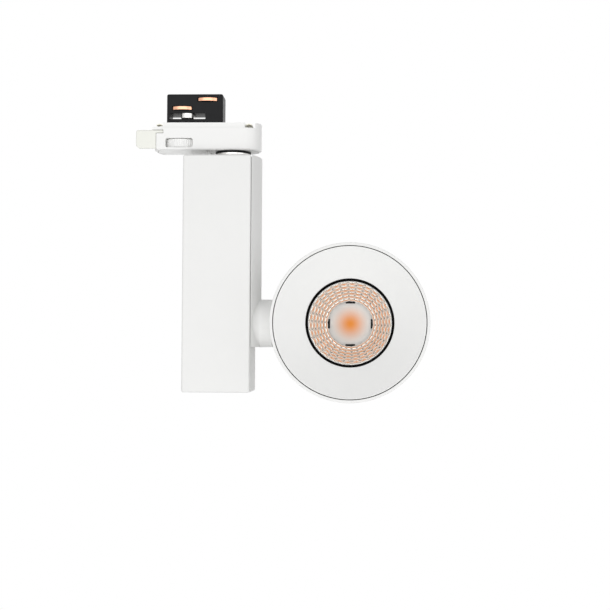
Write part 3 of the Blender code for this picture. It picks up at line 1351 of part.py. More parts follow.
WHITE_PAINT = finish("white_paint", (0.84, 0.84, 0.83), 0.55)
WHITE_PLASTIC = finish("white_plastic", (0.87, 0.87, 0.86), 0.4)
CREAM_PLASTIC = finish("cream_plastic", (0.87, 0.88, 0.82), 0.42)
BLACK_PLASTIC = finish("black_plastic", (0.02, 0.02, 0.02), 0.5)
GREY_PLASTIC = finish("grey_plastic", (0.35, 0.36, 0.37), 0.5)
STEEL = finish("steel", (0.62, 0.61, 0.6), 0.3, 1.0)
BRASS = finish("brass", (0.72, 0.6, 0.36), 0.35, 1.0)
COPPER = finish("copper", (0.82, 0.45, 0.3), 0.35, 1.0)
ALUMINIUM = finish("aluminium", (0.72, 0.73, 0.74), 0.4, 1.0)
MIRROR = finish("mirror_coating", (0.92, 0.91, 0.9), 0.08, 1.0)
FROSTED = finish("frosted_cover", (0.85, 0.85, 0.84), 0.6)
PHOSPHOR = finish("phosphor", (0.9, 0.42, 0.1), 0.7)
BOARD_GREEN = finish("board_green", (0.05, 0.25, 0.1), 0.5)
DARK_FERRITE = finish("dark_ferrite", (0.06, 0.06, 0.07), 0.6)
CAPACITOR_SLEEVE = finish("capacitor_sleeve", (0.05, 0.06, 0.12), 0.4)

build_adapter_housing()
build_adapter_cover()
build_lever()
build_tongue()
build_contacts()
build_earth_springs()
build_selector_wheel()
build_swivel()

SWIVEL = axis_point("swivel_axis", (0.0, 0.0, 0.0))
build_driver_box(SWIVEL)
build_rear_cover(SWIVEL)
build_driver_board(SWIVEL)
build_side_arm(SWIVEL)
build_pivot_stub(SWIVEL)

HEAD = axis_point("tilt_axis", (HEAD_X, 0.0, TILT_Z))
HEAD.parent = SWIVEL
build_tilt_joint(SWIVEL, HEAD)
build_head_barrel(HEAD)
build_front_bezel(HEAD)
build_baffle_ring(HEAD)
build_reflector(HEAD)
build_light_source(HEAD)
build_heat_sink(HEAD)
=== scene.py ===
"""Looks of a white track spotlight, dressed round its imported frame.

Metres, +Z up. The lamp faces -Y and hangs beside its driver box, on the +X side.
"""

import json
import logging
import math
from dataclasses import dataclass
from enum import Enum
from functools import partial
from typing import Callable, Iterable, Union

import bmesh
import bpy
from mathutils import Matrix, Quaternion, Vector

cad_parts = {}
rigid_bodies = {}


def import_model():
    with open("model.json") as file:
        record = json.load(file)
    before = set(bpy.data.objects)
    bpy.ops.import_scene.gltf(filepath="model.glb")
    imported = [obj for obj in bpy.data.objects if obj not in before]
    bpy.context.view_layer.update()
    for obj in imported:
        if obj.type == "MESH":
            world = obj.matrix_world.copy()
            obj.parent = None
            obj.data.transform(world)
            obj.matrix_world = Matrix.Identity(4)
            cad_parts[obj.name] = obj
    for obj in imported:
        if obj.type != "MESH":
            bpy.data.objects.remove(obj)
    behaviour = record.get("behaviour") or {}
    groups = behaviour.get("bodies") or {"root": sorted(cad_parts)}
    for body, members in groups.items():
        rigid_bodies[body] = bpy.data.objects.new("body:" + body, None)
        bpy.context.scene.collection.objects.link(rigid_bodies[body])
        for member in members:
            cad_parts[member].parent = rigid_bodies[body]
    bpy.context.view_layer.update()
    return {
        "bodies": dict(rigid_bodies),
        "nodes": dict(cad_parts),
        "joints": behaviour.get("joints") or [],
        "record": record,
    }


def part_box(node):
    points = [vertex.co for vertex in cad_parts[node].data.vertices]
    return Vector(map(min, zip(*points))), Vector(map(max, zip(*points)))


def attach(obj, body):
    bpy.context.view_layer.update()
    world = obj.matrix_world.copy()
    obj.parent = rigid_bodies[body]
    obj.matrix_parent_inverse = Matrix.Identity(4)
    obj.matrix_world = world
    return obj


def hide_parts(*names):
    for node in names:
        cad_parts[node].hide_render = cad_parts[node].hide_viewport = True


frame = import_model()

MM = 0.001

# Gaps between pieces that stay put, and between pieces that move
FIT = 0.3 * MM
RUNNING_GAP = 0.4 * MM
BOLT_RADIUS = 6.0 * MM
BOLT_BORE = BOLT_RADIUS + FIT
NIPPLE_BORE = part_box("swivel_nipple")[1].x + FIT

# How finely shapes are made, and what counts as one point, as smooth or as straight
TINY = 1e-7
MERGE = 1e-6
SMOOTH_ANGLE = math.radians(32)
STRAIGHT_HALF = math.radians(85)
FILLET_SHARE = 0.45
HOLE_FACETS = 48
ROUND_FACETS = 96
HEAD_FACETS = 160

# The part of a noise's range that it mostly keeps to, and how many grains wide a spot of gloss is
NOISE_MIDDLE = (0.25, 0.75)
GLOSS_SPOT = 6.0
EVEN = (1.0, 1.0, 1.0)
WHITE = (1.0, 1.0, 1.0, 1.0)
# Name of the mark that says where painted shade darkens the reflector's creases
CREASE_SHADE = "groove"

JOINTS = {joint["name"]: joint for joint in frame["joints"]}
LEVER_X = JOINTS["lever_swing"]["pos_m"][0]
HEAD_AXIS = Vector(JOINTS["tilt"]["pos_m"])

log = logging.getLogger("spotlight")

Point = tuple[float, float]
Profile = list[Point]
Triple = tuple[float, float, float]
Colour = Triple
Place = Triple
Piece = bpy.types.Object
Solid = bmesh.types.BMesh
Ring = list[bmesh.types.BMVert]
Wire = bpy.types.NodeSocket
Value = Union[float, int, Wire]


class Facing(Enum):
    """Ways that a shape's own +Z axis can point."""

    DOWN = Matrix.Rotation(math.pi, 4, "X")
    FRONT = Matrix.Rotation(math.pi / 2, 4, "X")
    REAR = Matrix.Rotation(-math.pi / 2, 4, "X")
    RIGHT = Matrix.Rotation(math.pi / 2, 4, "Y")

    def at(self, place: Iterable[float]) -> Matrix:
        """The matrix that turns a shape this way and moves it to a place."""
        return Matrix.Translation(Vector(place)) @ self.value


class Join(Enum):
    """Ways that two solids can be combined."""

    CUT = "DIFFERENCE"
    ADD = "UNION"
    KEEP = "INTERSECT"


class Socket(Enum):
    """Kinds of input that a geometry node tree can have."""

    WHOLE = "NodeSocketInt"
    NUMBER = "NodeSocketFloat"
    MATERIAL = "NodeSocketMaterial"


class Slot(Enum):
    """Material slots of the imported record."""

    WHITE_PAINT = "white_paint"
    WHITE_PLASTIC = "white_plastic"
    CREAM_PLASTIC = "cream_plastic"
    BLACK_PLASTIC = "black_plastic"
    GREY_PLASTIC = "grey_plastic"
    STEEL = "steel"
    BRASS = "brass"
    COPPER = "copper"
    ALUMINIUM = "aluminium"
    MIRROR = "mirror_coating"
    FROSTED = "frosted_cover"
    PHOSPHOR = "phosphor"
    BOARD = "board_green"
    FERRITE = "dark_ferrite"
    SLEEVE = "capacitor_sleeve"


class TreeBuilder:
    """A node tree, with short calls to add its nodes and link them."""

    def __init__(self, tree: bpy.types.NodeTree) -> None:
        """Work on a tree."""
        self.tree = tree

    def feed(self, target: Wire, value: object) -> None:
        """Link a socket to an input, or set the input to a plain value.

        Args:
            target: the input.
            value: a socket or a plain value.
        """
        if isinstance(value, Wire):
            self.tree.links.new(value, target)
        else:
            target.default_value = value

    def fill(self, node: bpy.types.Node, **values: object) -> bpy.types.Node:
        """Set or link a node's inputs.

        Args:
            node: the node.
            values: inputs by name, with spaces written as underscores; a socket is linked.

        Returns:
            The same node.
        """
        for label, value in values.items():
            self.feed(node.inputs[label.replace("_", " ")], value)
        return node

    def add(self, kind: str, **values: object) -> bpy.types.Node:
        """Add a node of a kind, and set or link its inputs."""
        return self.fill(self.tree.nodes.new(kind), **values)

    def calc(self, operation: str, first: Value, second: Value = 0.0) -> Wire:
        """A step of arithmetic.

        Args:
            operation: the Math node's operation.
            first: a number or a socket.
            second: a number or a socket.

        Returns:
            The result.
        """
        node = self.add("ShaderNodeMath")
        node.operation = operation
        self.feed(node.inputs[0], first)
        self.feed(node.inputs[1], second)
        return node.outputs["Value"]

    def length(self, vector: Wire) -> Wire:
        """The length of a vector.

        Args:
            vector: the vector's socket.

        Returns:
            Its length.
        """
        node = self.add("ShaderNodeVectorMath", Vector=vector)
        node.operation = "LENGTH"
        return node.outputs["Value"]

    def mapped(
        self,
        value: Wire,
        low: float,
        high: float,
        start: float = 0.0,
        end: float = 1.0,
        blend: str = "LINEAR",
    ) -> Wire:
        """Map one range of values to another, and hold it at both ends.

        Args:
            value: the value to map.
            low: the result at the start.
            high: the result at the end.
            start: where the value's range starts.
            end: where it ends.
            blend: how the result runs between its ends.

        Returns:
            The result.
        """
        node = self.add(
            "ShaderNodeMapRange", Value=value, From_Min=start, From_Max=end, To_Min=low, To_Max=high
        )
        node.interpolation_type = blend
        return node.outputs["Result"]


class ShaderTree(TreeBuilder):
    """A material's nodes, round a Principled shader that reads Object coordinates."""

    def __init__(self, name: str) -> None:
        """Start a material.

        Args:
            name: the material's name.
        """
        self.material = bpy.data.materials.new(name)
        self.material.use_nodes = True
        super().__init__(self.material.node_tree)
        self.surface = self.tree.nodes["Principled BSDF"]
        self.coordinates = self.add("ShaderNodeTexCoord").outputs["Object"]

    def set(self, **values: object) -> None:
        """Set or link inputs of the Principled shader, with spaces written as underscores."""
        self.fill(self.surface, **values)

    def noise(self, size: float, detail: float = 2.0, stretch: Triple = EVEN) -> Wire:
        """A noise of a real size.

        Args:
            size: how wide one spot is, in metres.
            detail: octaves of finer noise.
            stretch: how much closer the spots lie along each axis.

        Returns:
            The noise's value, about 0.5 in the middle.
        """
        mapping = self.add("ShaderNodeMapping", Vector=self.coordinates, Scale=stretch)
        spots = mapping.outputs["Vector"]
        return self.add("ShaderNodeTexNoise", Vector=spots, Scale=1.0 / size, Detail=detail).outputs["Fac"]

    def cells(self, size: float, distance: str) -> Wire:
        """The distance from the middle of the nearest cell, among cells of a real size.

        Args:
            size: how wide a cell is, in metres.
            distance: how the distance is measured.

        Returns:
            The distance, in cells.
        """
        node = self.add("ShaderNodeTexVoronoi", Vector=self.coordinates, Scale=1.0 / size)
        node.distance = distance
        return node.outputs["Distance"]

    def mixed(self, share: Wire, first: Colour, second: Colour) -> Wire:
        """Mix two colours.

        Args:
            share: how much of the second colour shows.
            first: a colour.
            second: a colour.

        Returns:
            The mixed colour.
        """
        node = self.add("ShaderNodeMix")
        node.data_type = "RGBA"
        self.feed(node.inputs["Factor"], share)
        for label, colour in (("A", first), ("B", second)):
            target = next(s for s in node.inputs if s.name == label and s.type == "RGBA")
            self.feed(target, (*colour, 1.0))
        return next(s for s in node.outputs if s.type == "RGBA")

    def bump(self, height: Wire, depth: float) -> None:
        """Raise the surface by a height map, with its depth in metres."""
        node = self.add("ShaderNodeBump", Height=height, Distance=depth, Strength=1.0)
        self.set(Normal=node.outputs["Normal"])


@dataclass(frozen=True)
class Finish:
    """A surface with a fine grain, a slow drift of tone and a slightly uneven gloss."""

    name: str
    slot: Slot
    colour: Colour
    roughness: float
    metallic: float = 0.0
    grain: float = 0.5 * MM
    depth: float = 0.01 * MM
    drift: float = 0.012
    drift_size: float = 14.0 * MM
    gloss_drift: float = 0.05
    stretch: Triple = EVEN
    sheen: float = 0.5

    def material(self) -> bpy.types.Material:
        """Make the finish once, and then share it.

        Returns:
            The finish as a material.
        """
        made = bpy.data.materials.get(self.name)
        if made is not None:
            return made
        shader = ShaderTree(self.name)
        shader.set(Metallic=self.metallic, Specular_IOR_Level=self.sheen)
        self.paint(shader)
        return shader.material

    def paint(self, shader: ShaderTree) -> None:
        """Set colour, gloss and grain.

        Args:
            shader: the tree to dress.
        """
        tone = shader.noise(self.drift_size, detail=3.0)
        spots = shader.noise(self.grain * GLOSS_SPOT, stretch=self.stretch)
        shiny, matt = self.roughness - self.gloss_drift, self.roughness + self.gloss_drift
        shader.set(
            Base_Color=shader.mixed(tone, self.toned(1.0 - self.drift), self.toned(1.0 + self.drift)),
            Roughness=shader.mapped(spots, shiny, matt, *NOISE_MIDDLE),
        )
        shader.bump(shader.noise(self.grain, stretch=self.stretch), self.depth)

    def toned(self, factor: float) -> Colour:
        """The colour, made lighter or darker by a factor."""
        red, green, blue = (min(1.0, part * factor) for part in self.colour)
        return red, green, blue


@dataclass(frozen=True)
class MouldedPlastic(Finish):
    """Moulded plastic: a spark-eroded grain of small round pits, and a softer sheen than paint."""

    pit: float = 0.35 * MM

    def paint(self, shader: ShaderTree) -> None:
        """Add pits to the plain finish.

        Args:
            shader: the tree to dress.
        """
        super().paint(shader)
        pits = shader.cells(self.pit, "EUCLIDEAN")
        shader.bump(shader.calc("MULTIPLY", pits, shader.noise(self.grain, detail=3.0)), self.depth)


@dataclass(frozen=True)
class FrostedPlastic(Finish):
    """A translucent cover that lets some light through, with the phosphor behind it painted on as a soft
    orange spot that also glows faintly.
    """

    see_through: float = 0.12
    index: float = 1.35
    # Painted light: the orange of the phosphor seen through the cover, how far from the axis it reaches, and
    # a faint painted glow.
    painted_spot_colour: Colour = (0.84, 0.29, 0.05)
    painted_spot_reach: float = 13.2 * MM
    painted_glow: float = 0.03

    def paint(self, shader: ShaderTree) -> None:
        """Let some light through the plain finish, and paint the phosphor's spot and its faint glow over the
        middle.

        Args:
            shader: the tree to dress.
        """
        super().paint(shader)
        from_axis = shader.add(
            "ShaderNodeMapping",
            Vector=shader.coordinates,
            Location=(-HEAD_AXIS.x, 0.0, -HEAD_AXIS.z),
            Scale=(1.0, 0.0, 1.0),
        )
        distance = shader.length(from_axis.outputs["Vector"])
        share = shader.mapped(distance, 1.0, 0.0, end=self.painted_spot_reach, blend="SMOOTHSTEP")
        # The spot's colour and its glow are painted; the cover gives no light of its own.
        shader.set(
            Base_Color=shader.mixed(share, self.colour, self.painted_spot_colour),
            Transmission_Weight=self.see_through,
            IOR=self.index,
            Emission_Color=(*self.painted_spot_colour, 1.0),
            Emission_Strength=shader.mapped(share, 0.0, self.painted_glow),
        )


@dataclass(frozen=True)
class FacetMirror(Finish):
    """A vacuum-coated mirror, with painted shade, dark brown, laid in the creases between its facets."""

    # Painted shade laid in the creases between facets: its dark colour, and the largest share of it that
    # shows.
    crease_shade_colour: Colour = (0.03, 0.02, 0.012)
    groove_share: float = 0.95

    def paint(self, shader: ShaderTree) -> None:
        """Paint shade into the creases that the facets' tree has marked.

        Args:
            shader: the tree to dress.
        """
        super().paint(shader)
        mark = shader.add("ShaderNodeAttribute")
        mark.attribute_name = CREASE_SHADE
        share = shader.mapped(mark.outputs["Fac"], 0.0, self.groove_share)
        shader.set(Base_Color=shader.mixed(share, self.colour, self.crease_shade_colour))


@dataclass(frozen=True)
class PhosphorGel(Finish):
    """Silicone with phosphor grains: speckled, and deeper in colour towards the grains."""

    grain_colour: Colour = (0.95, 0.30, 0.02)
    speckle: float = 0.15 * MM

    def paint(self, shader: ShaderTree) -> None:
        """Speckle the gel.

        Args:
            shader: the tree to dress.
        """
        super().paint(shader)
        share = shader.mapped(shader.noise(self.speckle, detail=4.0), 0.0, 1.0, *NOISE_MIDDLE)
        shader.set(Base_Color=shader.mixed(share, self.colour, self.grain_colour))


@dataclass(frozen=True)
class CircuitBoard(Finish):
    """Green solder mask over copper tracks, with the tracks standing slightly proud."""

    track_colour: Colour = (0.10, 0.36, 0.16)
    track_pitch: float = 3.2 * MM
    track_edge: float = 0.55

    def paint(self, shader: ShaderTree) -> None:
        """Draw the tracks.

        Args:
            shader: the tree to dress.
        """
        super().paint(shader)
        mask = shader.calc("GREATER_THAN", shader.cells(self.track_pitch, "MANHATTAN"), self.track_edge)
        shader.set(Base_Color=shader.mixed(mask, self.colour, self.track_colour))
        shader.bump(mask, self.depth)


POWDER_COAT = Finish(
    "powder_coat", Slot.WHITE_PAINT, (0.855, 0.855, 0.845), 0.55, grain=0.45 * MM, depth=0.012 * MM
)
BEZEL_COAT = Finish("bezel_coat", Slot.WHITE_PAINT, (0.87, 0.87, 0.86), 0.5, grain=0.45 * MM)
WHITE_MOULDING = MouldedPlastic("white_moulding", Slot.WHITE_PLASTIC, (0.905, 0.905, 0.895), 0.36)
CREAM_MOULDING = MouldedPlastic("cream_moulding", Slot.CREAM_PLASTIC, (0.87, 0.875, 0.815), 0.38)
BLACK_MOULDING = MouldedPlastic(
    "black_moulding", Slot.BLACK_PLASTIC, (0.008, 0.008, 0.009), 0.45, drift=0.1, sheen=0.15
)
FLAT_BLACK = Finish("flat_black", Slot.BLACK_PLASTIC, (0.006, 0.006, 0.006), 0.85, drift=0.1, sheen=0.0)
GREY_MOULDING = MouldedPlastic("grey_moulding", Slot.GREY_PLASTIC, (0.32, 0.33, 0.34), 0.5, drift=0.05)
ZINC_STEEL = Finish(
    "zinc_steel", Slot.STEEL, (0.74, 0.73, 0.71), 0.28, 1.0, drift=0.06, stretch=(1.0, 1.0, 5.0)
)
SCREW_STEEL = Finish("screw_steel", Slot.STEEL, (0.44, 0.435, 0.42), 0.34, 1.0, drift=0.08)
NICKEL_BRASS = Finish(
    "nickel_brass", Slot.BRASS, (0.62, 0.60, 0.51), 0.5, 0.7, drift=0.06, stretch=(1.0, 6.0, 1.0)
)
COPPER_STRIP = Finish(
    "copper_strip", Slot.COPPER, (0.84, 0.46, 0.30), 0.28, 1.0, drift=0.06, stretch=(6.0, 1.0, 1.0)
)
CAST_ALUMINIUM = Finish(
    "cast_aluminium",
    Slot.ALUMINIUM,
    (0.52, 0.525, 0.53),
    0.46,
    1.0,
    grain=0.6 * MM,
    depth=0.03 * MM,
    drift=0.05,
)
MIRROR_COAT = FacetMirror(
    "mirror_coat",
    Slot.MIRROR,
    (0.97, 0.95, 0.915),
    0.03,
    1.0,
    grain=1.5 * MM,
    depth=0.001 * MM,
    gloss_drift=0.01,
)
BARE_WALL = Finish("bare_wall", Slot.MIRROR, (0.8, 0.8, 0.8), 0.9, sheen=0.0)
FROST = FrostedPlastic("frost", Slot.FROSTED, (0.82, 0.795, 0.77), 0.5, grain=0.25 * MM, sheen=0.2)
GEL = PhosphorGel("phosphor_gel", Slot.PHOSPHOR, (0.98, 0.46, 0.10), 0.5, grain=0.3 * MM)
BOARD_MASK = CircuitBoard("board_mask", Slot.BOARD, (0.03, 0.22, 0.08), 0.4, depth=0.03 * MM)
FERRITE = Finish(
    "ferrite", Slot.FERRITE, (0.055, 0.055, 0.06), 0.6, grain=0.3 * MM, depth=0.02 * MM, drift=0.15
)
SHRINK_SLEEVE = Finish("shrink_sleeve", Slot.SLEEVE, (0.04, 0.05, 0.11), 0.35, grain=2.0 * MM, drift=0.1)


class NodeGroup(TreeBuilder):
    """A geometry node tree with named inputs, which ends in real mesh and one material."""

    def __init__(self, name: str, inputs: dict[str, Socket]) -> None:
        """Start a tree.

        Args:
            name: the tree's name.
            inputs: the kind of each input, by name.
        """
        super().__init__(bpy.data.node_groups.new(name, "GeometryNodeTree"))
        face = self.tree.interface
        face.new_socket("Geometry", in_out="INPUT", socket_type="NodeSocketGeometry")
        self.identifiers = {}
        for label, kind in {**inputs, "Material": Socket.MATERIAL}.items():
            made = face.new_socket(label, in_out="INPUT", socket_type=kind.value)
            self.identifiers[label] = made.identifier
        face.new_socket("Geometry", in_out="OUTPUT", socket_type="NodeSocketGeometry")
        self.source = self.add("NodeGroupInput")

    def given(self, label: str) -> Wire:
        """The socket of a named input."""
        return self.source.outputs[label]

    def close(self, geometry: Wire) -> None:
        """End the tree: realize the copies and give them the material.

        Args:
            geometry: what the tree has made.
        """
        real = self.add("GeometryNodeRealizeInstances", Geometry=geometry).outputs["Geometry"]
        dressed = self.add("GeometryNodeSetMaterial", Geometry=real, Material=self.given("Material"))
        self.add("NodeGroupOutput", Geometry=dressed.outputs["Geometry"])

    def apply(self, thing: Piece, finish: Finish, **values: Union[int, float]) -> Piece:
        """Run the tree on an object and keep the result as its mesh.

        Args:
            thing: the object, whose mesh the tree starts from.
            finish: the finish of the result.
            values: the tree's inputs by name, with spaces written as underscores.

        Returns:
            The same object.
        """
        modifier = thing.modifiers.new(self.tree.name, "NODES")
        modifier.node_group = self.tree
        modifier[self.identifiers["Material"]] = finish.material()
        for label, value in values.items():
            modifier[self.identifiers[label.replace("_", " ")]] = value
        return bake(thing)


def ring_of_copies() -> NodeGroup:
    """Turn copies of a shape about its own Z axis, with the last ones left out where that is asked for.

    Returns:
        The tree.
    """
    group = NodeGroup(
        "ring_of_copies", {"Count": Socket.WHOLE, "Left Out": Socket.WHOLE, "Start": Socket.NUMBER}
    )
    shown = group.calc("SUBTRACT", group.given("Count"), group.given("Left Out"))
    points = group.add("GeometryNodeMeshLine", Count=shown, Offset=(0.0, 0.0, 0.0))
    index = group.add("GeometryNodeInputIndex").outputs["Index"]
    step = group.calc("DIVIDE", math.tau, group.given("Count"))
    angle = group.calc("ADD", group.calc("MULTIPLY", index, step), group.given("Start"))
    turn = group.add("ShaderNodeCombineXYZ", Z=angle).outputs["Vector"]
    copies = group.add(
        "GeometryNodeInstanceOnPoints",
        Points=points.outputs["Mesh"],
        Instance=group.given("Geometry"),
        Rotation=group.add("FunctionNodeEulerToRotation", Euler=turn).outputs["Rotation"],
    )
    group.close(copies.outputs["Instances"])
    return group


def grid_of_copies() -> NodeGroup:
    """Set copies of a shape at the corners of a grid in its own XY plane.

    Returns:
        The tree.
    """
    counts = dict.fromkeys(("Columns", "Rows"), Socket.WHOLE)
    group = NodeGroup("grid_of_copies", counts | dict.fromkeys(("Width", "Height"), Socket.NUMBER))
    grid = group.add(
        "GeometryNodeMeshGrid",
        Size_X=group.given("Width"),
        Size_Y=group.given("Height"),
        Vertices_X=group.given("Columns"),
        Vertices_Y=group.given("Rows"),
    )
    copies = group.add(
        "GeometryNodeInstanceOnPoints", Points=grid.outputs["Mesh"], Instance=group.given("Geometry")
    )
    group.close(copies.outputs["Instances"])
    return group


def facet_cup() -> NodeGroup:
    """Lay pillow-shaped facets, in columns and rings, over a parabolic cup about its Z axis, and mark where
    painted shade goes in the creases between them.

    Returns:
        The tree.
    """
    counts = dict.fromkeys(("Columns", "Rows", "Steps"), Socket.WHOLE)
    sizes = ["Neck", "Mouth", "Depth", "Start"]
    # Groove Fall and Groove Between shape only the painted shade in the creases.
    sizes += ["Pillow Across", "Pillow Along", "Groove Fall", "Groove Between"]
    group = NodeGroup("facet_cup", counts | dict.fromkeys(sizes, Socket.NUMBER))
    plus, minus, times, over = (
        partial(group.calc, operation) for operation in ("ADD", "SUBTRACT", "MULTIPLY", "DIVIDE")
    )
    columns, rows, steps = (group.given(label) for label in counts)
    neck, mouth = group.given("Neck"), group.given("Mouth")
    grid = group.add(
        "GeometryNodeMeshGrid",
        Size_X=1.0,
        Size_Y=1.0,
        Vertices_X=plus(times(columns, steps), 1),
        Vertices_Y=plus(times(rows, steps), 1),
    )
    place = group.add("GeometryNodeInputPosition").outputs["Position"]
    flat = group.add("ShaderNodeSeparateXYZ", Vector=place)
    round_share, up_share = plus(flat.outputs["X"], 0.5), plus(flat.outputs["Y"], 0.5)

    def arches(share: Wire, count: Wire) -> Wire:
        """A row of arches: nothing at the facets' edges, and one in their middles."""
        inside = group.calc("FRACT", times(share, count))
        return times(times(inside, minus(1.0, inside)), 4.0)

    def shade_near_crease(arch: Wire) -> Wire:
        """One at a row of arches' feet, falling to nothing a little way up them."""
        return group.calc("MAXIMUM", minus(1.0, times(arch, group.given("Groove Fall"))), 0.0)

    round_arches, up_arches = arches(round_share, columns), arches(up_share, rows)
    # Painted shade: full along the creases between rings, strongest where columns meet them, a smaller share
    # between, none at the mouth's rim.
    corners = group.calc("MAXIMUM", shade_near_crease(round_arches), group.given("Groove Between"))
    below_rim = group.calc("LESS_THAN", up_share, 1.0 - MERGE)
    shade_marked = group.add(
        "GeometryNodeStoreNamedAttribute",
        Geometry=grid.outputs["Mesh"],
        Name=CREASE_SHADE,
        Value=times(times(shade_near_crease(up_arches), corners), below_rim),
    )
    radius = plus(neck, times(up_share, minus(mouth, neck)))
    narrowing = group.calc("POWER", over(radius, mouth), 2.0)
    swell = plus(
        times(round_arches, times(group.given("Pillow Across"), narrowing)),
        times(up_arches, group.given("Pillow Along")),
    )
    bend = over(group.given("Depth"), minus(times(mouth, mouth), times(neck, neck)))
    height = times(minus(times(radius, radius), times(neck, neck)), bend)
    slope = times(times(radius, 2.0), bend)
    inwards = over(swell, group.calc("SQRT", plus(times(slope, slope), 1.0)))
    wall = minus(radius, times(inwards, slope))
    angle = plus(times(round_share, math.tau), group.given("Start"))
    curved = group.add(
        "ShaderNodeCombineXYZ",
        X=times(wall, group.calc("COSINE", angle)),
        Y=times(wall, group.calc("SINE", angle)),
        Z=plus(height, inwards),
    )
    cup = group.add(
        "GeometryNodeSetPosition", Geometry=shade_marked.outputs["Geometry"], Position=curved.outputs["Vector"]
    )
    closed = group.add("GeometryNodeMergeByDistance", Geometry=cup.outputs["Geometry"], Distance=MERGE)
    group.close(closed.outputs["Geometry"])
    return group


RING = ring_of_copies()
GRID = grid_of_copies()
CUP = facet_cup()


def bake(thing: Piece) -> Piece:
    """Turn an object's modifiers into plain mesh.

    Args:
        thing: the object.

    Returns:
        The same object, with its modifiers gone.
    """
    bpy.context.view_layer.update()
    depsgraph = bpy.context.evaluated_depsgraph_get()
    mesh = bpy.data.meshes.new_from_object(thing.evaluated_get(depsgraph))
    old = thing.data
    thing.modifiers.clear()
    thing.data = mesh
    bpy.data.meshes.remove(old)
    mesh.name = thing.name
    return thing


def arc(centre: Point, radius: float, start: float, end: float, steps: int) -> Profile:
    """Points on a circle.

    Args:
        centre: the circle's centre.
        radius: its radius.
        start: the first angle, in degrees.
        end: the last angle, in degrees.
        steps: how many chords the arc has.

    Returns:
        The points, both ends included.
    """
    angles = [math.radians(start + (end - start) * step / steps) for step in range(steps + 1)]
    return [(centre[0] + radius * math.cos(a), centre[1] + radius * math.sin(a)) for a in angles]


def band(inner: float, outer: float, low: float, high: float) -> Profile:
    """The section of a plain ring, or of a disc where its inner radius is nothing."""
    return [(inner, high), (outer, high), (outer, low), (inner, low)]


def rounded(profile: Profile, radius: float, steps: int = 4, on_axis: bool = True) -> Profile:
    """Round the corners of a closed outline.

    Args:
        profile: the outline's corners.
        radius: the fillets' radius, less where a side is short.
        steps: how many chords a fillet has.
        on_axis: whether corners on the axis, or left of it, stay as they are.

    Returns:
        The rounded outline, with straight corners as they were.
    """
    points: Profile = []
    for index, corner in enumerate(profile):
        here = Vector(corner)
        back = Vector(profile[index - 1]) - here
        ahead = Vector(profile[(index + 1) % len(profile)]) - here
        half = back.angle(ahead) / 2
        if (on_axis and corner[0] < TINY) or half > STRAIGHT_HALF:
            points.append(corner)
            continue
        reach = min(radius / math.tan(half), FILLET_SHARE * back.length, FILLET_SHARE * ahead.length)
        middle = here + (back.normalized() + ahead.normalized()).normalized() * (reach / math.cos(half))
        first = here + back.normalized() * reach - middle
        last = here + ahead.normalized() * reach - middle
        turn = first.angle_signed(last)
        for step in range(steps + 1):
            arm = first.copy()
            arm.rotate(Matrix.Rotation(-turn * step / steps, 2))
            points.append(tuple(middle + arm))
    return points


def turns(count: int, start: float = 0.0) -> list[float]:
    """Angles in equal steps round a circle."""
    return [start + math.tau * step / count for step in range(count)]


def vert_ring(bm: Solid, radius: float, height: float, angles: list[float]) -> Ring:
    """New vertices round the Z axis."""
    return [bm.verts.new((radius * math.cos(a), radius * math.sin(a), height)) for a in angles]


def lathe(profile: Profile, facets: int) -> Solid:
    """Turn a closed outline of (radius, height) points about the Z axis.

    Args:
        profile: the outline; points on the axis become poles.
        facets: how many sides the turned shape has.

    Returns:
        A closed mesh.
    """
    bm = bmesh.new()
    rings = []
    for radius, height in profile:
        angles = turns(facets) if radius >= TINY else [0.0]
        rings.append(vert_ring(bm, radius, height, angles))
    for first, second in zip(rings, rings[1:] + rings[:1]):
        if len(first) == 1 and len(second) == 1:
            continue
        for facet in range(facets):
            beside = (facet + 1) % facets
            corners = [first[facet % len(first)], first[beside % len(first)]]
            corners += [second[beside % len(second)], second[facet % len(second)]]
            bm.faces.new(list(dict.fromkeys(corners)))
    bmesh.ops.recalc_face_normals(bm, faces=bm.faces)
    return bm


def rod(radius: float, low: float, high: float, facets: int = HOLE_FACETS) -> Solid:
    """A plain cylinder about the Z axis, between two heights."""
    return lathe(band(0.0, radius, low, high), facets)


def extruded(corners: list[Triple], along: Triple) -> Solid:
    """Extrude a flat face.

    Args:
        corners: the face's corners.
        along: how far it is moved along each axis.

    Returns:
        A closed mesh.
    """
    bm = bmesh.new()
    face = bm.faces.new([bm.verts.new(corner) for corner in corners])
    grown = bmesh.ops.extrude_face_region(bm, geom=[face])
    risen = [item for item in grown["geom"] if isinstance(item, bmesh.types.BMVert)]
    bmesh.ops.translate(bm, verts=risen, vec=along)
    bmesh.ops.recalc_face_normals(bm, faces=bm.faces)
    return bm


def slab(outline: Profile, low: float, high: float) -> Solid:
    """Extrude an outline in the XY plane between two heights."""
    return extruded([(x, y, low) for x, y in outline], (0.0, 0.0, high - low))


def bridge(bm: Solid, rings: list[Ring], material: int = 0) -> None:
    """Lay faces from each closed ring of vertices to the next.

    Args:
        bm: the mesh.
        rings: the rings, each with as many vertices as the others.
        material: which of the piece's materials the faces have.
    """
    for first, second in zip(rings, rings[1:]):
        for here in range(len(first)):
            face = bm.faces.new((first[here - 1], first[here], second[here], second[here - 1]))
            face.material_index = material


def block(low: Iterable[float], high: Iterable[float]) -> Solid:
    """A box.

    Args:
        low: its lowest corner.
        high: its highest corner.

    Returns:
        A closed mesh.
    """
    first, second = Vector(low), Vector(high)
    bm = bmesh.new()
    matrix = Matrix.Translation((first + second) / 2) @ Matrix.Diagonal((*(second - first), 1.0))
    bmesh.ops.create_cube(bm, size=1.0, matrix=matrix)
    return bm


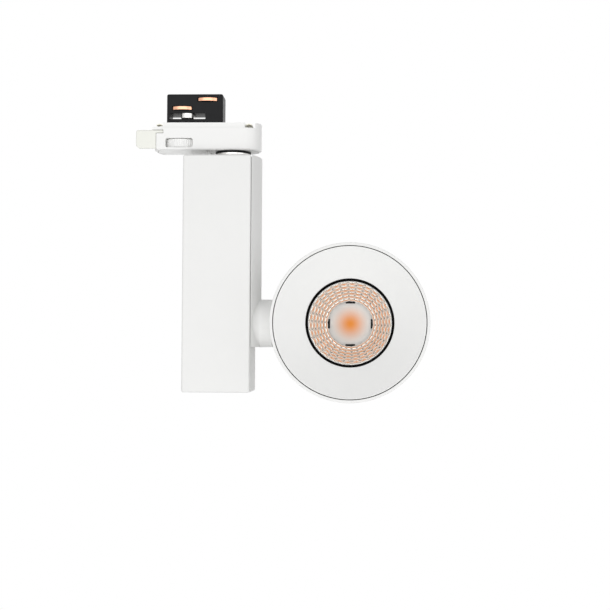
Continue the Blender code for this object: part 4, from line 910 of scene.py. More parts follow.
def joined(*shapes: Solid) -> Solid:
    """Put shapes that don't touch into one mesh.

    Args:
        shapes: the shapes, which are freed.

    Returns:
        The mesh.
    """
    whole = bmesh.new()
    for shape in shapes:
        mesh = bpy.data.meshes.new("joined")
        shape.to_mesh(mesh)
        shape.free()
        whole.from_mesh(mesh)
        bpy.data.meshes.remove(mesh)
    return whole


def round_edges(
    bm: Solid, radius: float, chosen: Callable[[bmesh.types.BMEdge], bool], steps: int = 2
) -> Solid:
    """Round the edges that a test chooses.

    Args:
        bm: the mesh.
        radius: the rounding's width.
        chosen: says whether an edge is rounded.
        steps: how many faces a rounding has.

    Returns:
        The same mesh.
    """
    edges = [edge for edge in bm.edges if chosen(edge)]
    bmesh.ops.bevel(
        bm, geom=edges, offset=radius, segments=steps, profile=0.5, affect="EDGES", clamp_overlap=True
    )
    return bm


def sharp_edge(edge: bmesh.types.BMEdge) -> bool:
    """Whether an edge turns by more than a soft curve does."""
    return len(edge.link_faces) == 2 and edge.calc_face_angle() > SMOOTH_ANGLE


def shift(x: float = 0.0, y: float = 0.0, z: float = 0.0) -> Matrix:
    """The matrix that moves a shape along the axes."""
    return Matrix.Translation((x, y, z))


def moved(bm: Solid, matrix: Matrix) -> Solid:
    """Move a mesh by a matrix."""
    bm.transform(matrix)
    return bm


def placed(thing: Piece, matrix: Matrix) -> Piece:
    """Move a piece's mesh by a matrix, so that the piece itself stays at the origin."""
    thing.data.transform(matrix)
    return thing


def linked(name: str, data: bpy.types.ID) -> Piece:
    """A new object at the origin of the scene.

    Args:
        name: the object's name.
        data: its mesh, camera or light.

    Returns:
        The object.
    """
    thing = bpy.data.objects.new(name, data)
    bpy.context.scene.collection.objects.link(thing)
    return thing


def as_object(name: str, bm: Solid) -> Piece:
    """Make an object at the origin from a mesh.

    Args:
        name: the object's name.
        bm: the mesh, which is freed.

    Returns:
        The object.
    """
    mesh = bpy.data.meshes.new(name)
    bm.to_mesh(mesh)
    bm.free()
    return linked(name, mesh)


def combine(thing: Piece, join: Join, *tools: Solid) -> Piece:
    """Cut or add solids, and keep the result as plain mesh.

    Args:
        thing: the object to change.
        join: how the tools act.
        tools: the solids, which are freed.

    Returns:
        The same object.
    """
    helpers = [as_object(f"{thing.name}_tool", tool) for tool in tools]
    for helper in helpers:
        modifier = thing.modifiers.new("combine", "BOOLEAN")
        modifier.operation = join.value
        modifier.object = helper
    bake(thing)
    for helper in helpers:
        bpy.data.objects.remove(helper, do_unlink=True)
    return thing


def soften(thing: Piece, radius: float, steps: int = 2) -> Piece:
    """Round the sharp edges that cutting has left.

    Args:
        thing: the object.
        radius: the rounding's width.
        steps: how many faces a rounding has.

    Returns:
        The same object.
    """
    weld = thing.modifiers.new("weld", "WELD")
    weld.merge_threshold = MERGE
    bevel = thing.modifiers.new("soften", "BEVEL")
    bevel.width = radius
    bevel.segments = steps
    bevel.limit_method = "ANGLE"
    bevel.angle_limit = SMOOTH_ANGLE
    bevel.use_clamp_overlap = True
    return bake(thing)


def shade(thing: Piece, crease: float) -> None:
    """Shade a piece smooth, with its flat faces kept flat.

    Args:
        thing: the piece.
        crease: the angle from which its edges stay sharp.
    """
    thing.data.shade_smooth()
    thing.data.set_sharp_from_angle(angle=crease)
    weighted = thing.modifiers.new("weighted", "WEIGHTED_NORMAL")
    weighted.keep_sharp = True
    bake(thing)


def coat(thing: Piece, *finishes: Finish) -> None:
    """Give a piece its materials, with all of its faces in the first one.

    Args:
        thing: the piece.
        finishes: the materials' finishes.
    """
    thing.data.materials.clear()
    for finish in finishes:
        thing.data.materials.append(finish.material())


def settle(
    thing: Piece,
    finish: Finish,
    body: str,
    *nodes: str,
    crease: float = SMOOTH_ANGLE,
    coated: bool = False,
) -> None:
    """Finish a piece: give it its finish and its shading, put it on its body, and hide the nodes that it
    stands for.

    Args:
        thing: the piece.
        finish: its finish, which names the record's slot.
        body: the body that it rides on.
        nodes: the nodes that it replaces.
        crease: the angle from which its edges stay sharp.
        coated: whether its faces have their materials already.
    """
    if not coated:
        coat(thing, finish)
    shade(thing, crease)
    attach(thing, body)
    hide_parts(*nodes)
    log.info("%s: %d faces on %s", thing.name, len(thing.data.polygons), body)


def centre_of(node: str) -> Vector:
    """The middle of a node's box."""
    low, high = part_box(node)
    return (low + high) / 2


def half_width(node: str) -> float:
    """Half of a node's size along X."""
    low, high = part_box(node)
    return (high.x - low.x) / 2


def half_height(node: str) -> float:
    """Half of a node's size along Z."""
    low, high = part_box(node)
    return (high.z - low.z) / 2


def numbered(stem: str, count: int) -> list[str]:
    """The names of a set of nodes, numbered from one."""
    return [f"{stem}_{index}" for index in range(1, count + 1)]


@dataclass(frozen=True)
class Screw:
    """A screw with a cross recess, head up."""

    head: float
    length: float
    facets: int = 32
    shank: float = 1.3 * MM
    head_height: float = 1.4 * MM
    dome: float = 0.3 * MM
    crown: tuple[float, ...] = (0.5, 1.0, 1.4)
    recess_width: float = 0.55 * MM
    recess_depth: float = 0.8 * MM
    recess_reach: float = 0.62
    fillet: float = 0.12 * MM

    def countersunk(self, name: str) -> Piece:
        """The screw with a flat head that ends at zero."""
        flat = [(self.head * math.sin(a), 0.0) for a in self.crown]
        return self.recessed(name, 0.0, flat + [(self.head, 0.0), (self.shank, -self.head_height)])

    def pan(self, name: str) -> Piece:
        """Make the screw with a domed head.

        Args:
            name: the object's name.

        Returns:
            The screw, whose head stands on zero.
        """
        top = self.head_height
        crown = [(self.head * math.sin(a), top + self.dome * (math.cos(a) - 1.0)) for a in self.crown]
        rim = [(self.head, top - self.dome), (self.head, 0.0), (self.shank, 0.0)]
        return self.recessed(name, top, crown + rim)

    def recessed(self, name: str, top: float, outline: Profile) -> Piece:
        """Turn the screw and cut its recess.

        Args:
            name: the object's name.
            top: the height of the head's middle.
            outline: the head's outline, without its middle.

        Returns:
            The screw, at the origin.
        """
        profile = [(0.0, top)] + outline + [(self.shank, -self.length), (0.0, -self.length)]
        thing = as_object(name, lathe(rounded(profile, self.fillet, steps=2), self.facets))
        long, wide = self.head * self.recess_reach, self.recess_width
        floor, above = top - self.recess_depth, top + self.head
        bars = [block((-x, -y, floor), (x, y, above)) for x, y in ((long, wide), (wide, long))]
        return combine(thing, Join.CUT, *bars)


def sunk_seat(node: str, thick: float, place: Matrix) -> Solid:
    """A cutter for a countersunk screw's seat.

    Args:
        node: the screw.
        thick: the plate's thickness.
        place: the screw's place on the plate's face, head up.

    Returns:
        The cutter.
    """
    head = half_width(node) + FIT / 2
    under = -thick - FIT
    seat = [(0.0, FIT), (head, FIT), (head, 0.0), (head / 2, under), (0.0, under)]
    return moved(lathe(seat, Screw.facets), place)


@dataclass
class TrackAdapter:
    """The adapter's housing, cover, tongue, contacts and earth leaves."""

    body: str = "adapter"
    left_end: float = -47.5 * MM
    end_radius: float = 11.0 * MM
    end_steps: int = 20
    foot_round: float = 1.6 * MM
    wall: float = 2.0 * MM
    shoulder: float = 3.3 * MM
    shoulder_inset: float = 0.8 * MM
    post_length: float = 3.5 * MM
    ramp_length: float = 6.5 * MM
    ramp_height: float = 2.2 * MM
    ramp_end: float = 1.6 * MM
    window_width: float = 17.3 * MM
    window_corner: float = 1.4 * MM
    edge: float = 0.25 * MM
    tongue_edge: float = 1.2 * MM
    contact_strip: float = 0.8 * MM
    contact_edge: float = 0.16 * MM
    leaf_steps: int = 20
    earth_strip: float = 0.6 * MM
    earth_round: float = 0.2 * MM

    def outline(self, inset: float) -> Profile:
        """The adapter in plan.

        Args:
            inset: how far the outline lies inside the housing's own.

        Returns:
            Straight sides, a rounded right end, and a left end that clears the lever's swing.
        """
        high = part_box("adapter_housing")[1]
        half = high.y - inset
        corner_x, corner_y = high.x - self.end_radius, high.y - self.end_radius
        corner = self.end_radius - inset
        reach = LEVER_X - self.left_end
        sweep = math.hypot(reach + FIT, high.y - LockLever.blade) - RUNNING_GAP - inset
        side_turn = math.degrees(math.asin(half / sweep))
        flat_turn = math.degrees(math.acos((reach - inset) / sweep))
        points = arc((corner_x, -corner_y), corner, -90, 0, self.end_steps)
        points += arc((corner_x, corner_y), corner, 0, 90, self.end_steps)
        points += arc((LEVER_X, 0.0), sweep, 180 - side_turn, 180 + flat_turn, self.end_steps)
        return points + [(self.left_end + inset, -half)]

    @staticmethod
    def shoulder_ends() -> tuple[float, float]:
        """Where the shoulder ends along X, beside the earth leaves."""
        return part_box("earth_spring_left")[1].x + FIT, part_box("earth_spring_right")[0].x - FIT

    def lever_room(self) -> list[Solid]:
        """Clear the lever's plate, its step and the swing of its hub.

        Returns:
            The cutters.
        """
        low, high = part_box("adapter_housing")
        lever_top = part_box("lock_lever")[1].z
        floor, roof = lever_top - LockLever.plate - FIT, lever_top + FIT
        left = self.shoulder_ends()[0]
        far = 2 * high.y
        return [
            block((2 * low.x, -far, floor), (left, far, far)),
            block((left - FIT, -far, floor), (left + LockLever.step, far, roof)),
            block((left, -LockLever.hub - RUNNING_GAP, floor), (LEVER_X + high.y + RUNNING_GAP, far, roof)),
        ]

    def shoulder_cuts(self) -> list[Solid]:
        """Leave the shoulder, narrower than the housing, and a notch between it and the end post.

        Returns:
            The cutters.
        """
        low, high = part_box("adapter_housing")
        right = self.shoulder_ends()[1]
        side = high.y - self.shoulder_inset
        level = high.z - self.shoulder
        far = 2 * high.y
        return [
            block((2 * low.x, -far, level), (right + FIT, -side, far)),
            block((2 * low.x, side, level), (right + FIT, far, far)),
            block((right, -far, level), (high.x - self.post_length, far, far)),
        ]

    def inner_room(self) -> list[Solid]:
        """Hollow the housing for its cover, the wheel with its window, and the tongue.

        Returns:
            The cutters.
        """
        low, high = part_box("adapter_housing")
        wheel_low, wheel_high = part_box("selector_wheel")
        tongue_low, tongue_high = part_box("track_tongue")
        far = 2 * high.y
        wheel_x = centre_of("selector_wheel").x
        cover_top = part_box("adapter_cover")[1].z + FIT
        room = half_width("selector_wheel") + RUNNING_GAP
        cavity = rod(room, cover_top - FIT, wheel_high.z + FIT, ROUND_FACETS)
        window = block(
            (wheel_x - self.window_width / 2, -far, wheel_low.z - FIT),
            (wheel_x + self.window_width / 2, far, wheel_high.z + FIT),
        )
        round_edges(
            window,
            self.window_corner,
            lambda edge: abs(edge.verts[0].co.y - edge.verts[1].co.y) > far,
            steps=5,
        )
        gap = Vector((FIT, FIT, FIT))
        return [
            slab(self.outline(self.wall), low.z - FIT, cover_top),
            moved(cavity, shift(wheel_x)),
            window,
            block(tongue_low - gap, (tongue_high.x + FIT, tongue_high.y + FIT, far)),
        ]

    def ramp(self) -> Solid:
        """The wedge over the lever, which rises to the shoulder.

        Returns:
            The wedge.
        """
        left = self.shoulder_ends()[0]
        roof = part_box("lock_lever")[1].z + FIT
        start, end = left - self.ramp_length, left + LockLever.step / 2
        top = roof + self.ramp_height
        section = [(start, roof), (end, roof), (end, top), (left, top), (start, roof + self.ramp_end)]
        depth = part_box("adapter_housing")[1].y - self.shoulder_inset
        return moved(slab(section, -depth, depth), Facing.FRONT.value)

    def build_housing(self) -> Piece:
        """The housing: a rounded body, cut for the lever, the shoulder, the wheel and the cover.

        Returns:
            The housing.
        """
        low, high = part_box("adapter_housing")
        bm = slab(self.outline(0.0), low.z, high.z)
        below = low.z + TINY
        round_edges(bm, self.foot_round, lambda edge: all(v.co.z < below for v in edge.verts), steps=6)
        housing = as_object("adapter_shell", bm)
        combine(housing, Join.CUT, *self.lever_room(), *self.shoulder_cuts(), *self.inner_room())
        combine(housing, Join.ADD, self.ramp())
        return soften(housing, self.edge)

    def build_cover(self) -> Piece:
        """The bottom cover, with its rim eased, a hole for the nipple and a sunk seat for each screw.

        Returns:
            The cover.
        """
        low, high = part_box("adapter_cover")
        bm = slab(self.outline(self.wall + FIT), low.z, high.z)
        cover = as_object("adapter_floor", round_edges(bm, self.edge, sharp_edge))
        tools = [rod(NIPPLE_BORE, low.z - FIT, high.z + FIT)]
        for node in numbered("cover_screw", 2):
            place = Facing.DOWN.at((*centre_of(node).xy, low.z))
            tools.append(sunk_seat(node, high.z - low.z, place))
        return combine(cover, Join.CUT, *tools)

    @staticmethod
    def contacts() -> list[str]:
        """The nodes of the contacts."""
        return numbered("contact_circuit", 3) + ["contact_neutral"]

    def build_tongue(self) -> Piece:
        """The tongue: softened edges, a slot for the cam and a pocket for each contact.

        Returns:
            The tongue.
        """
        low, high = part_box("track_tongue")
        bm = block(low, high)
        above = low.z + TINY
        round_edges(bm, self.tongue_edge, lambda edge: any(v.co.z > above for v in edge.verts), steps=5)
        tongue = as_object("tongue_moulding", bm)
        cam_low, cam_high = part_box("lock_cam")
        swing = (cam_high.y - cam_low.y) / 2 + RUNNING_GAP
        far = 2 * high.y
        tools = [block((LEVER_X - swing, -far, cam_low.z - FIT), (LEVER_X + swing, far, cam_high.z + FIT))]
        for node in self.contacts():
            first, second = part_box(node)
            way = math.copysign(far, first.y + second.y)
            floor = math.copysign(min(abs(first.y), abs(second.y)) - FIT, way)
            pocket_low = (first.x - FIT, min(floor, way), first.z - FIT)
            tools.append(block(pocket_low, (second.x + FIT, max(floor, way), second.z + FIT)))
        combine(tongue, Join.CUT, *tools)
        return soften(tongue, self.edge)

    def leaf(self, node: str, middle: float) -> Solid:
        """A contact's leaf, which bows towards -Y.

        Args:
            node: the contact.
            middle: the place along X that its own is counted from.

        Returns:
            The leaf, with rounded edges.
        """
        low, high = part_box(node)
        half, rise = half_width(node), high.y - low.y
        bow = rise - self.contact_strip
        radius = (half * half + bow * bow) / (2 * bow)
        reach = math.degrees(math.asin(half / radius))
        centre = (0.0, radius - rise)
        points = arc(centre, radius, -90 - reach, -90 + reach, self.leaf_steps)
        points += arc(centre, radius - self.contact_strip, -90 + reach, -90 - reach, self.leaf_steps)
        bm = round_edges(slab(points, low.z, high.z), self.contact_edge, sharp_edge)
        return moved(bm, shift(centre_of(node).x - middle, high.y))

    def build_contacts(self) -> Piece:
        """Bowed copper leaves: two in front, and their like behind by half a turn.

        Returns:
            The leaves.
        """
        middle = centre_of("track_tongue")
        leaves = joined(*(self.leaf(node, middle.x) for node in numbered("contact_circuit", 2)))
        thing = RING.apply(as_object("contact_leaves", leaves), COPPER_STRIP, Count=2)
        return placed(thing, shift(middle.x, middle.y))

    def build_earth_leaves(self) -> Piece:
        """Bent leaves in the two notches beside the shoulder.

        Returns:
            The leaves.
        """
        leaves = []
        strip = self.earth_strip
        for node, way in (("earth_spring_left", -1.0), ("earth_spring_right", 1.0)):
            low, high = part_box(node)
            root = low.x if way > 0 else high.x
            bend, tip = root + way * half_width(node), root + way * (high.x - low.x)
            outline = [
                (root, low.z),
                (root, low.z + strip),
                (bend, high.z),
                (tip, high.z - strip),
                (tip, high.z - 2 * strip),
                (bend, high.z - strip),
            ]
            section = rounded(outline, self.earth_round, steps=3, on_axis=False)
            leaves.append(moved(slab(section, -high.y, -low.y), Facing.FRONT.value))
        return as_object("earth_leaves", joined(*leaves))

    def build_cover_screws(self) -> Piece:
        """Two countersunk screws under the cover, half a turn apart.

        Returns:
            The screws.
        """
        first, second = centre_of("cover_screw_1"), centre_of("cover_screw_2")
        low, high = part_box("cover_screw_1")
        unit = Screw(half_width("cover_screw_1"), high.z - low.z).countersunk("adapter_screws")
        placed(unit, Facing.DOWN.at((0.0, (first.y - second.y) / 2, low.z)))
        return placed(RING.apply(unit, SCREW_STEEL, Count=2), shift(first.x))

    def dress(self) -> None:
        """Build and finish every piece of the adapter."""
        settle(self.build_housing(), WHITE_MOULDING, self.body, "adapter_housing")
        settle(self.build_cover(), WHITE_MOULDING, self.body, "adapter_cover")
        settle(self.build_cover_screws(), SCREW_STEEL, self.body, *numbered("cover_screw", 2))
        settle(self.build_tongue(), BLACK_MOULDING, self.body, "track_tongue")
        settle(self.build_contacts(), COPPER_STRIP, self.body, *self.contacts())
        springs = ("earth_spring_left", "earth_spring_right")
        settle(self.build_earth_leaves(), NICKEL_BRASS, self.body, *springs)


@dataclass
class LockLever:
    """The lever with its front blade, and the cam that it turns."""

    body: str = "lever"
    plate: float = 1.7 * MM
    step: float = 0.6 * MM
    hub: float = 8.5 * MM
    hub_steps: int = 24
    corner: float = 2.8 * MM
    corner_steps: int = 16
    blade: float = 1.5 * MM
    top_round: float = 1.4 * MM
    top_steps: int = 8
    face_round: float = 0.7 * MM
    face_steps: int = 6
    inset: float = 0.01 * MM
    cam_edge: float = 0.3 * MM
    cam_steps: int = 20

    def step_x(self) -> float:
        """Where the lever's top ends, under the shoulder."""
        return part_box("earth_spring_left")[1].x + self.step

    def nose(self, left: float, top: float, inset: float) -> Profile:
        """The round corner at the lever's upper left, seen from the front.

        Args:
            left: the lever's left end.
            top: its upper face.
            inset: how far its free edges are drawn in.

        Returns:
            The corner, from the top to the left.
        """
        centre = (left + self.top_round, top - self.top_round)
        return arc(centre, self.top_round - inset, 90, 180, self.top_steps)

    def blade_outline(self, inset: float) -> Profile:
        """The blade seen from the front.

        Args:
            inset: how far its free edges are drawn in.

        Returns:
            A deep end with round corners on the left, and a strip that runs on to the shoulder.
        """
        low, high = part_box("lock_lever")
        right, end = TrackAdapter.left_end - FIT, self.step_x()
        under = high.z - self.plate
        centre = (low.x + self.corner, low.z + self.corner)
        points = arc(centre, self.corner - inset, 180, 270, self.corner_steps)
        points += [(right, low.z + inset), (right, under), (end, under), (end, high.z - inset)]
        return points + self.nose(low.x, high.z, inset)

    def build_blade(self) -> Solid:
        """The blade, with its front edges rounded over.

        Returns:
            A closed mesh.
        """
        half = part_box("lock_lever")[1].y
        levels = [(0.0, half - self.blade)]
        for step in range(self.face_steps + 1):
            turn = math.pi / 2 * step / self.face_steps
            inset, back = self.face_round * (1 - math.cos(turn)), self.face_round * (1 - math.sin(turn))
            levels.append((inset, half - back))
        bm = bmesh.new()
        rings = []
        for inset, level in levels:
            rings.append([bm.verts.new((x, -level, z)) for x, z in self.blade_outline(inset)])
        bridge(bm, rings)
        for end in (rings[0], rings[-1]):
            bm.faces.new(end)
        bmesh.ops.recalc_face_normals(bm, faces=bm.faces)
        return bm

    def build_lever(self) -> Piece:
        """A flat plate with a round hub, and a deep blade along its front edge.

        Returns:
            The lever.
        """
        low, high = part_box("lock_lever")
        half = high.y
        left, right, front = low.x + self.inset, self.step_x() - self.inset, self.blade / 2 - half
        top = high.z - self.inset
        outline = arc((left + self.corner, half - self.corner), self.corner, 90, 180, self.corner_steps)
        outline += [(left, front), (right, front), (right, -self.hub)]
        outline += arc((LEVER_X, 0.0), self.hub, -90, 90, self.hub_steps)
        outline += [(right, self.hub), (right, half)]
        lever = as_object("lever_moulding", slab(outline, high.z - self.plate + self.inset, top))
        side = self.nose(left, top, 0.0)
        side += [(left, low.z), (high.x + half, low.z), (high.x + half, top)]
        combine(lever, Join.KEEP, moved(slab(side, -2 * half, 2 * half), Facing.FRONT.value))
        return combine(lever, Join.ADD, self.build_blade())

    def build_cam(self) -> Piece:
        """The cam: a flat link with round ends and eased rims, on its shaft.

        Returns:
            The cam.
        """
        low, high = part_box("lock_cam")
        tip = half_width("lock_cam")
        straight = high.y - tip
        outline = arc((LEVER_X, straight), tip, 0, 180, self.cam_steps)
        outline += arc((LEVER_X, -straight), tip, 180, 360, self.cam_steps)
        return as_object("cam_link", round_edges(slab(outline, low.z, high.z), self.cam_edge, sharp_edge))

    def dress(self) -> None:
        """Build and finish the lever and its cam."""
        settle(self.build_lever(), CREAM_MOULDING, self.body, "lock_lever")
        settle(self.build_cam(), ZINC_STEEL, self.body, "lock_cam")


@dataclass
class SelectorWheel:
    """The wheel behind the adapter's window, ribbed for a thumb except on its plain sector."""

    body: str = "selector"
    facets: int = 144
    ribs: int = 48
    plain: int = 5
    plain_start: float = -142.0
    rib_depth: float = 0.3 * MM
    rib_share: float = 0.55
    rib_round: float = 0.3
    edge: float = 0.15 * MM
    stud: float = 3.3 * MM

    def build(self) -> Piece:
        """A drum with an eased rim, and a ring of ribs round it.

        Returns:
            The wheel.
        """
        low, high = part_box("selector_wheel")
        radius = half_width("selector_wheel")
        core = radius - self.rib_depth
        drum = lathe(rounded(band(self.stud, core, low.z, high.z), self.edge), self.facets)
        width = math.tau * radius / self.ribs * self.rib_share
        rib = block(
            (core - self.rib_depth, -width / 2, low.z + self.edge), (radius, width / 2, high.z - self.edge)
        )
        round_edges(rib, width * self.rib_round, lambda edge: all(v.co.x > core for v in edge.verts))
        start = math.radians(self.plain_start) + math.tau / self.ribs * self.plain
        thing = RING.apply(
            as_object("selector_drum", rib), WHITE_MOULDING, Count=self.ribs, Left_Out=self.plain, Start=start
        )
        combine(thing, Join.ADD, drum)
        return placed(thing, shift(*centre_of("selector_wheel").xy))

    def dress(self) -> None:
        """Build and finish the wheel."""
        settle(self.build(), WHITE_MOULDING, self.body, "selector_wheel")


@dataclass
class Swivel:
    """What shows between the adapter and the driver box: the friction disc and the bright collar."""

    body: str = "adapter"
    edge: float = 0.2 * MM
    groove: float = 0.12 * MM
    groove_share: float = 0.25

    def build_ring(self, name: str, node: str, grooved: bool) -> Piece:
        """A turned ring round the nipple.

        Args:
            name: the piece's name.
            node: the node whose place it takes.
            grooved: whether a groove runs round it.

        Returns:
            The ring.
        """
        low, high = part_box(node)
        radius = high.x
        profile = band(NIPPLE_BORE, radius, low.z, high.z)
        if grooved:
            middle = (low.z + high.z) / 2
            half = half_height(node) * self.groove_share
            profile[2:2] = [(radius, middle + half), (radius - self.groove, middle), (radius, middle - half)]
        return as_object(name, lathe(rounded(profile, self.edge, steps=3), ROUND_FACETS))

    def dress(self) -> None:
        """Build and finish the rings."""
        disc = self.build_ring("friction_ring", "friction_disc", grooved=False)
        settle(disc, BLACK_MOULDING, self.body, "friction_disc")
        collar = self.build_ring("collar_ring", "swivel_collar", grooved=True)
        settle(collar, ZINC_STEEL, self.body, "swivel_collar")


@dataclass
class DriverBox:
    """The driver box: its shell, its rear cover and the cover's screws."""

    body: str = "driver_box"
    edge: float = 1.2 * MM
    inner_edge: float = 0.6 * MM
    wall: float = 2.0 * MM
    cover_edge: float = 0.35 * MM
    rim: float = 0.2 * MM

    def build_shell(self) -> Piece:
        """A rounded box, open at the rear, with holes for the nipple and the tilt bolt.

        Returns:
            The shell.
        """
        low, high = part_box("driver_housing")
        wall, rear = self.wall, high.y - TINY
        outer = block(low, high)
        round_edges(outer, self.edge, lambda edge: not all(v.co.y > rear for v in edge.verts), steps=8)
        shell = as_object("box_shell", outer)
        hollow = block(low + Vector((wall, wall, wall)), (high.x - wall, high.y + wall, high.z - wall))
        round_edges(
            hollow, self.inner_edge, lambda edge: not all(v.co.y > high.y for v in edge.verts), steps=3
        )
        top = rod(NIPPLE_BORE, high.z - 2 * wall, high.z + FIT)
        side = moved(rod(BOLT_BORE, -2 * wall, FIT), Facing.RIGHT.at((high.x, 0.0, HEAD_AXIS.z)))
        combine(shell, Join.CUT, hollow, top, side)
        return soften(shell, self.rim)

    def build_cover(self) -> Piece:
        """The rear cover: an eased plate with a sunk seat for each screw.

        Returns:
            The cover.
        """
        low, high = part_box("rear_cover")
        cover = as_object(
            "box_back", round_edges(block(low, high), self.cover_edge, lambda edge: True, steps=3)
        )
        tools = []
        for node in numbered("rear_cover_screw", 4):
            middle = centre_of(node)
            place = Facing.REAR.at((middle.x, high.y, middle.z))
            tools.append(sunk_seat(node, high.y - low.y, place))
        return combine(cover, Join.CUT, *tools)

    def build_screws(self) -> Piece:
        """Four countersunk screws at the cover's corners.

        Returns:
            The screws.
        """
        first, last = centre_of("rear_cover_screw_1"), centre_of("rear_cover_screw_4")
        low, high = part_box("rear_cover_screw_1")
        unit = Screw(half_width("rear_cover_screw_1"), high.y - low.y).countersunk("back_screws")
        thing = GRID.apply(
            unit, SCREW_STEEL, Columns=2, Rows=2, Width=abs(last.x - first.x), Height=abs(last.z - first.z)
        )
        return placed(thing, Facing.REAR.at(((first.x + last.x) / 2, high.y, (first.z + last.z) / 2)))

    def dress(self) -> None:
        """Build and finish the box."""
        settle(self.build_shell(), POWDER_COAT, self.body, "driver_housing")
        settle(self.build_cover(), POWDER_COAT, self.body, "rear_cover")
        settle(self.build_screws(), SCREW_STEEL, self.body, *numbered("rear_cover_screw", 4))


@dataclass
class SideArm:
    """The bowed arm on the box's side, the round stub on it and the stub's friction washer."""

    body: str = "driver_box"
    side_edge: float = 0.3 * MM
    bow_steps: int = 40
    top_round: float = 1.5 * MM
    edge: float = 0.25 * MM
    cove: float = 3.2 * MM
    cove_steps: int = 8
    seat_gap: float = 0.1 * MM

    def bow(self) -> float:
        """The radius of the arm's bowed face.

        Returns:
            The radius.
        """
        low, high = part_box("side_arm")
        rise = high.x - low.x - self.side_edge
        return (high.y * high.y + rise * rise) / (2 * rise)

    def face(self, across: float) -> float:
        """Where the arm's bowed face lies at a distance from its middle line."""
        radius = self.bow()
        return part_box("side_arm")[1].x - radius + math.sqrt(radius * radius - across * across)

    def build_arm(self) -> Piece:
        """The arm: flat against the box, with a bowed outer face and its upper end rounded over.

        Returns:
            The arm.
        """
        low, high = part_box("side_arm")
        radius = self.bow()
        reach = math.degrees(math.asin(high.y / radius))
        outline = [(low.x, high.y), (low.x, -high.y)]
        outline += arc((high.x - radius, 0.0), radius, -reach, reach, self.bow_steps)
        bm = slab(outline, low.z, high.z)
        above, bowed = high.z - TINY, low.x + TINY
        round_edges(
            bm,
            self.top_round,
            lambda edge: all(v.co.z > above and v.co.x > bowed for v in edge.verts),
            steps=6,
        )
        return soften(as_object("arm_bow", bm), self.edge, steps=3)

    def stub_section(self, turn: float) -> Profile:
        """The stub's section at an angle round its axis.

        Args:
            turn: the angle, from the rear.

        Returns:
            Points of (radius, place along X): a lip over the washer, a straight neck, and a cove onto
            the arm.
        """
        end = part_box("pivot_stub")[1].x
        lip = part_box("tilt_friction_washer")[1].x
        radius = half_height("pivot_stub")
        recess = half_height("tilt_friction_washer") + FIT
        cove = max(self.cove * math.cos(turn) ** 2, self.edge)
        points = [(BOLT_BORE, end), (recess, end), (recess, lip)]
        points += arc((radius - self.edge, lip - self.edge), self.edge, 90, 0, steps=3)
        foot = arc((radius + cove, cove), cove, 180, 270, self.cove_steps) + [(BOLT_BORE, 0.0)]
        return points + [(out, self.face(out * math.cos(turn)) + self.seat_gap + up) for out, up in foot]

    def build_stub(self) -> Piece:
        """The stub: a neck whose foot runs out in a cove on the arm's bowed face.

        Returns:
            The stub.
        """
        bm = bmesh.new()
        rings = []
        for turn in turns(ROUND_FACETS):
            across, up = math.cos(turn), math.sin(turn)
            section = self.stub_section(turn)
            rings.append([bm.verts.new((x, out * across, HEAD_AXIS.z + out * up)) for out, x in section])
        bridge(bm, rings + rings[:1])
        bmesh.ops.recalc_face_normals(bm, faces=bm.faces)
        return as_object("stub_neck", bm)

    def build_washer(self) -> Piece:
        """The black washer between the stub and the head.

        Returns:
            The washer.
        """
        low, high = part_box("tilt_friction_washer")
        section = band(BOLT_BORE, half_height("tilt_friction_washer"), 0.0, high.x - low.x)
        bm = lathe(rounded(section, self.edge / 2, steps=2), ROUND_FACETS)
        return as_object("stub_washer", moved(bm, Facing.RIGHT.at((low.x, 0.0, HEAD_AXIS.z))))

    def dress(self) -> None:
        """Build and finish the arm, the stub and the washer."""
        settle(self.build_arm(), POWDER_COAT, self.body, "side_arm")
        settle(self.build_stub(), POWDER_COAT, self.body, "pivot_stub")
        settle(self.build_washer(), BLACK_MOULDING, self.body, "tilt_friction_washer")


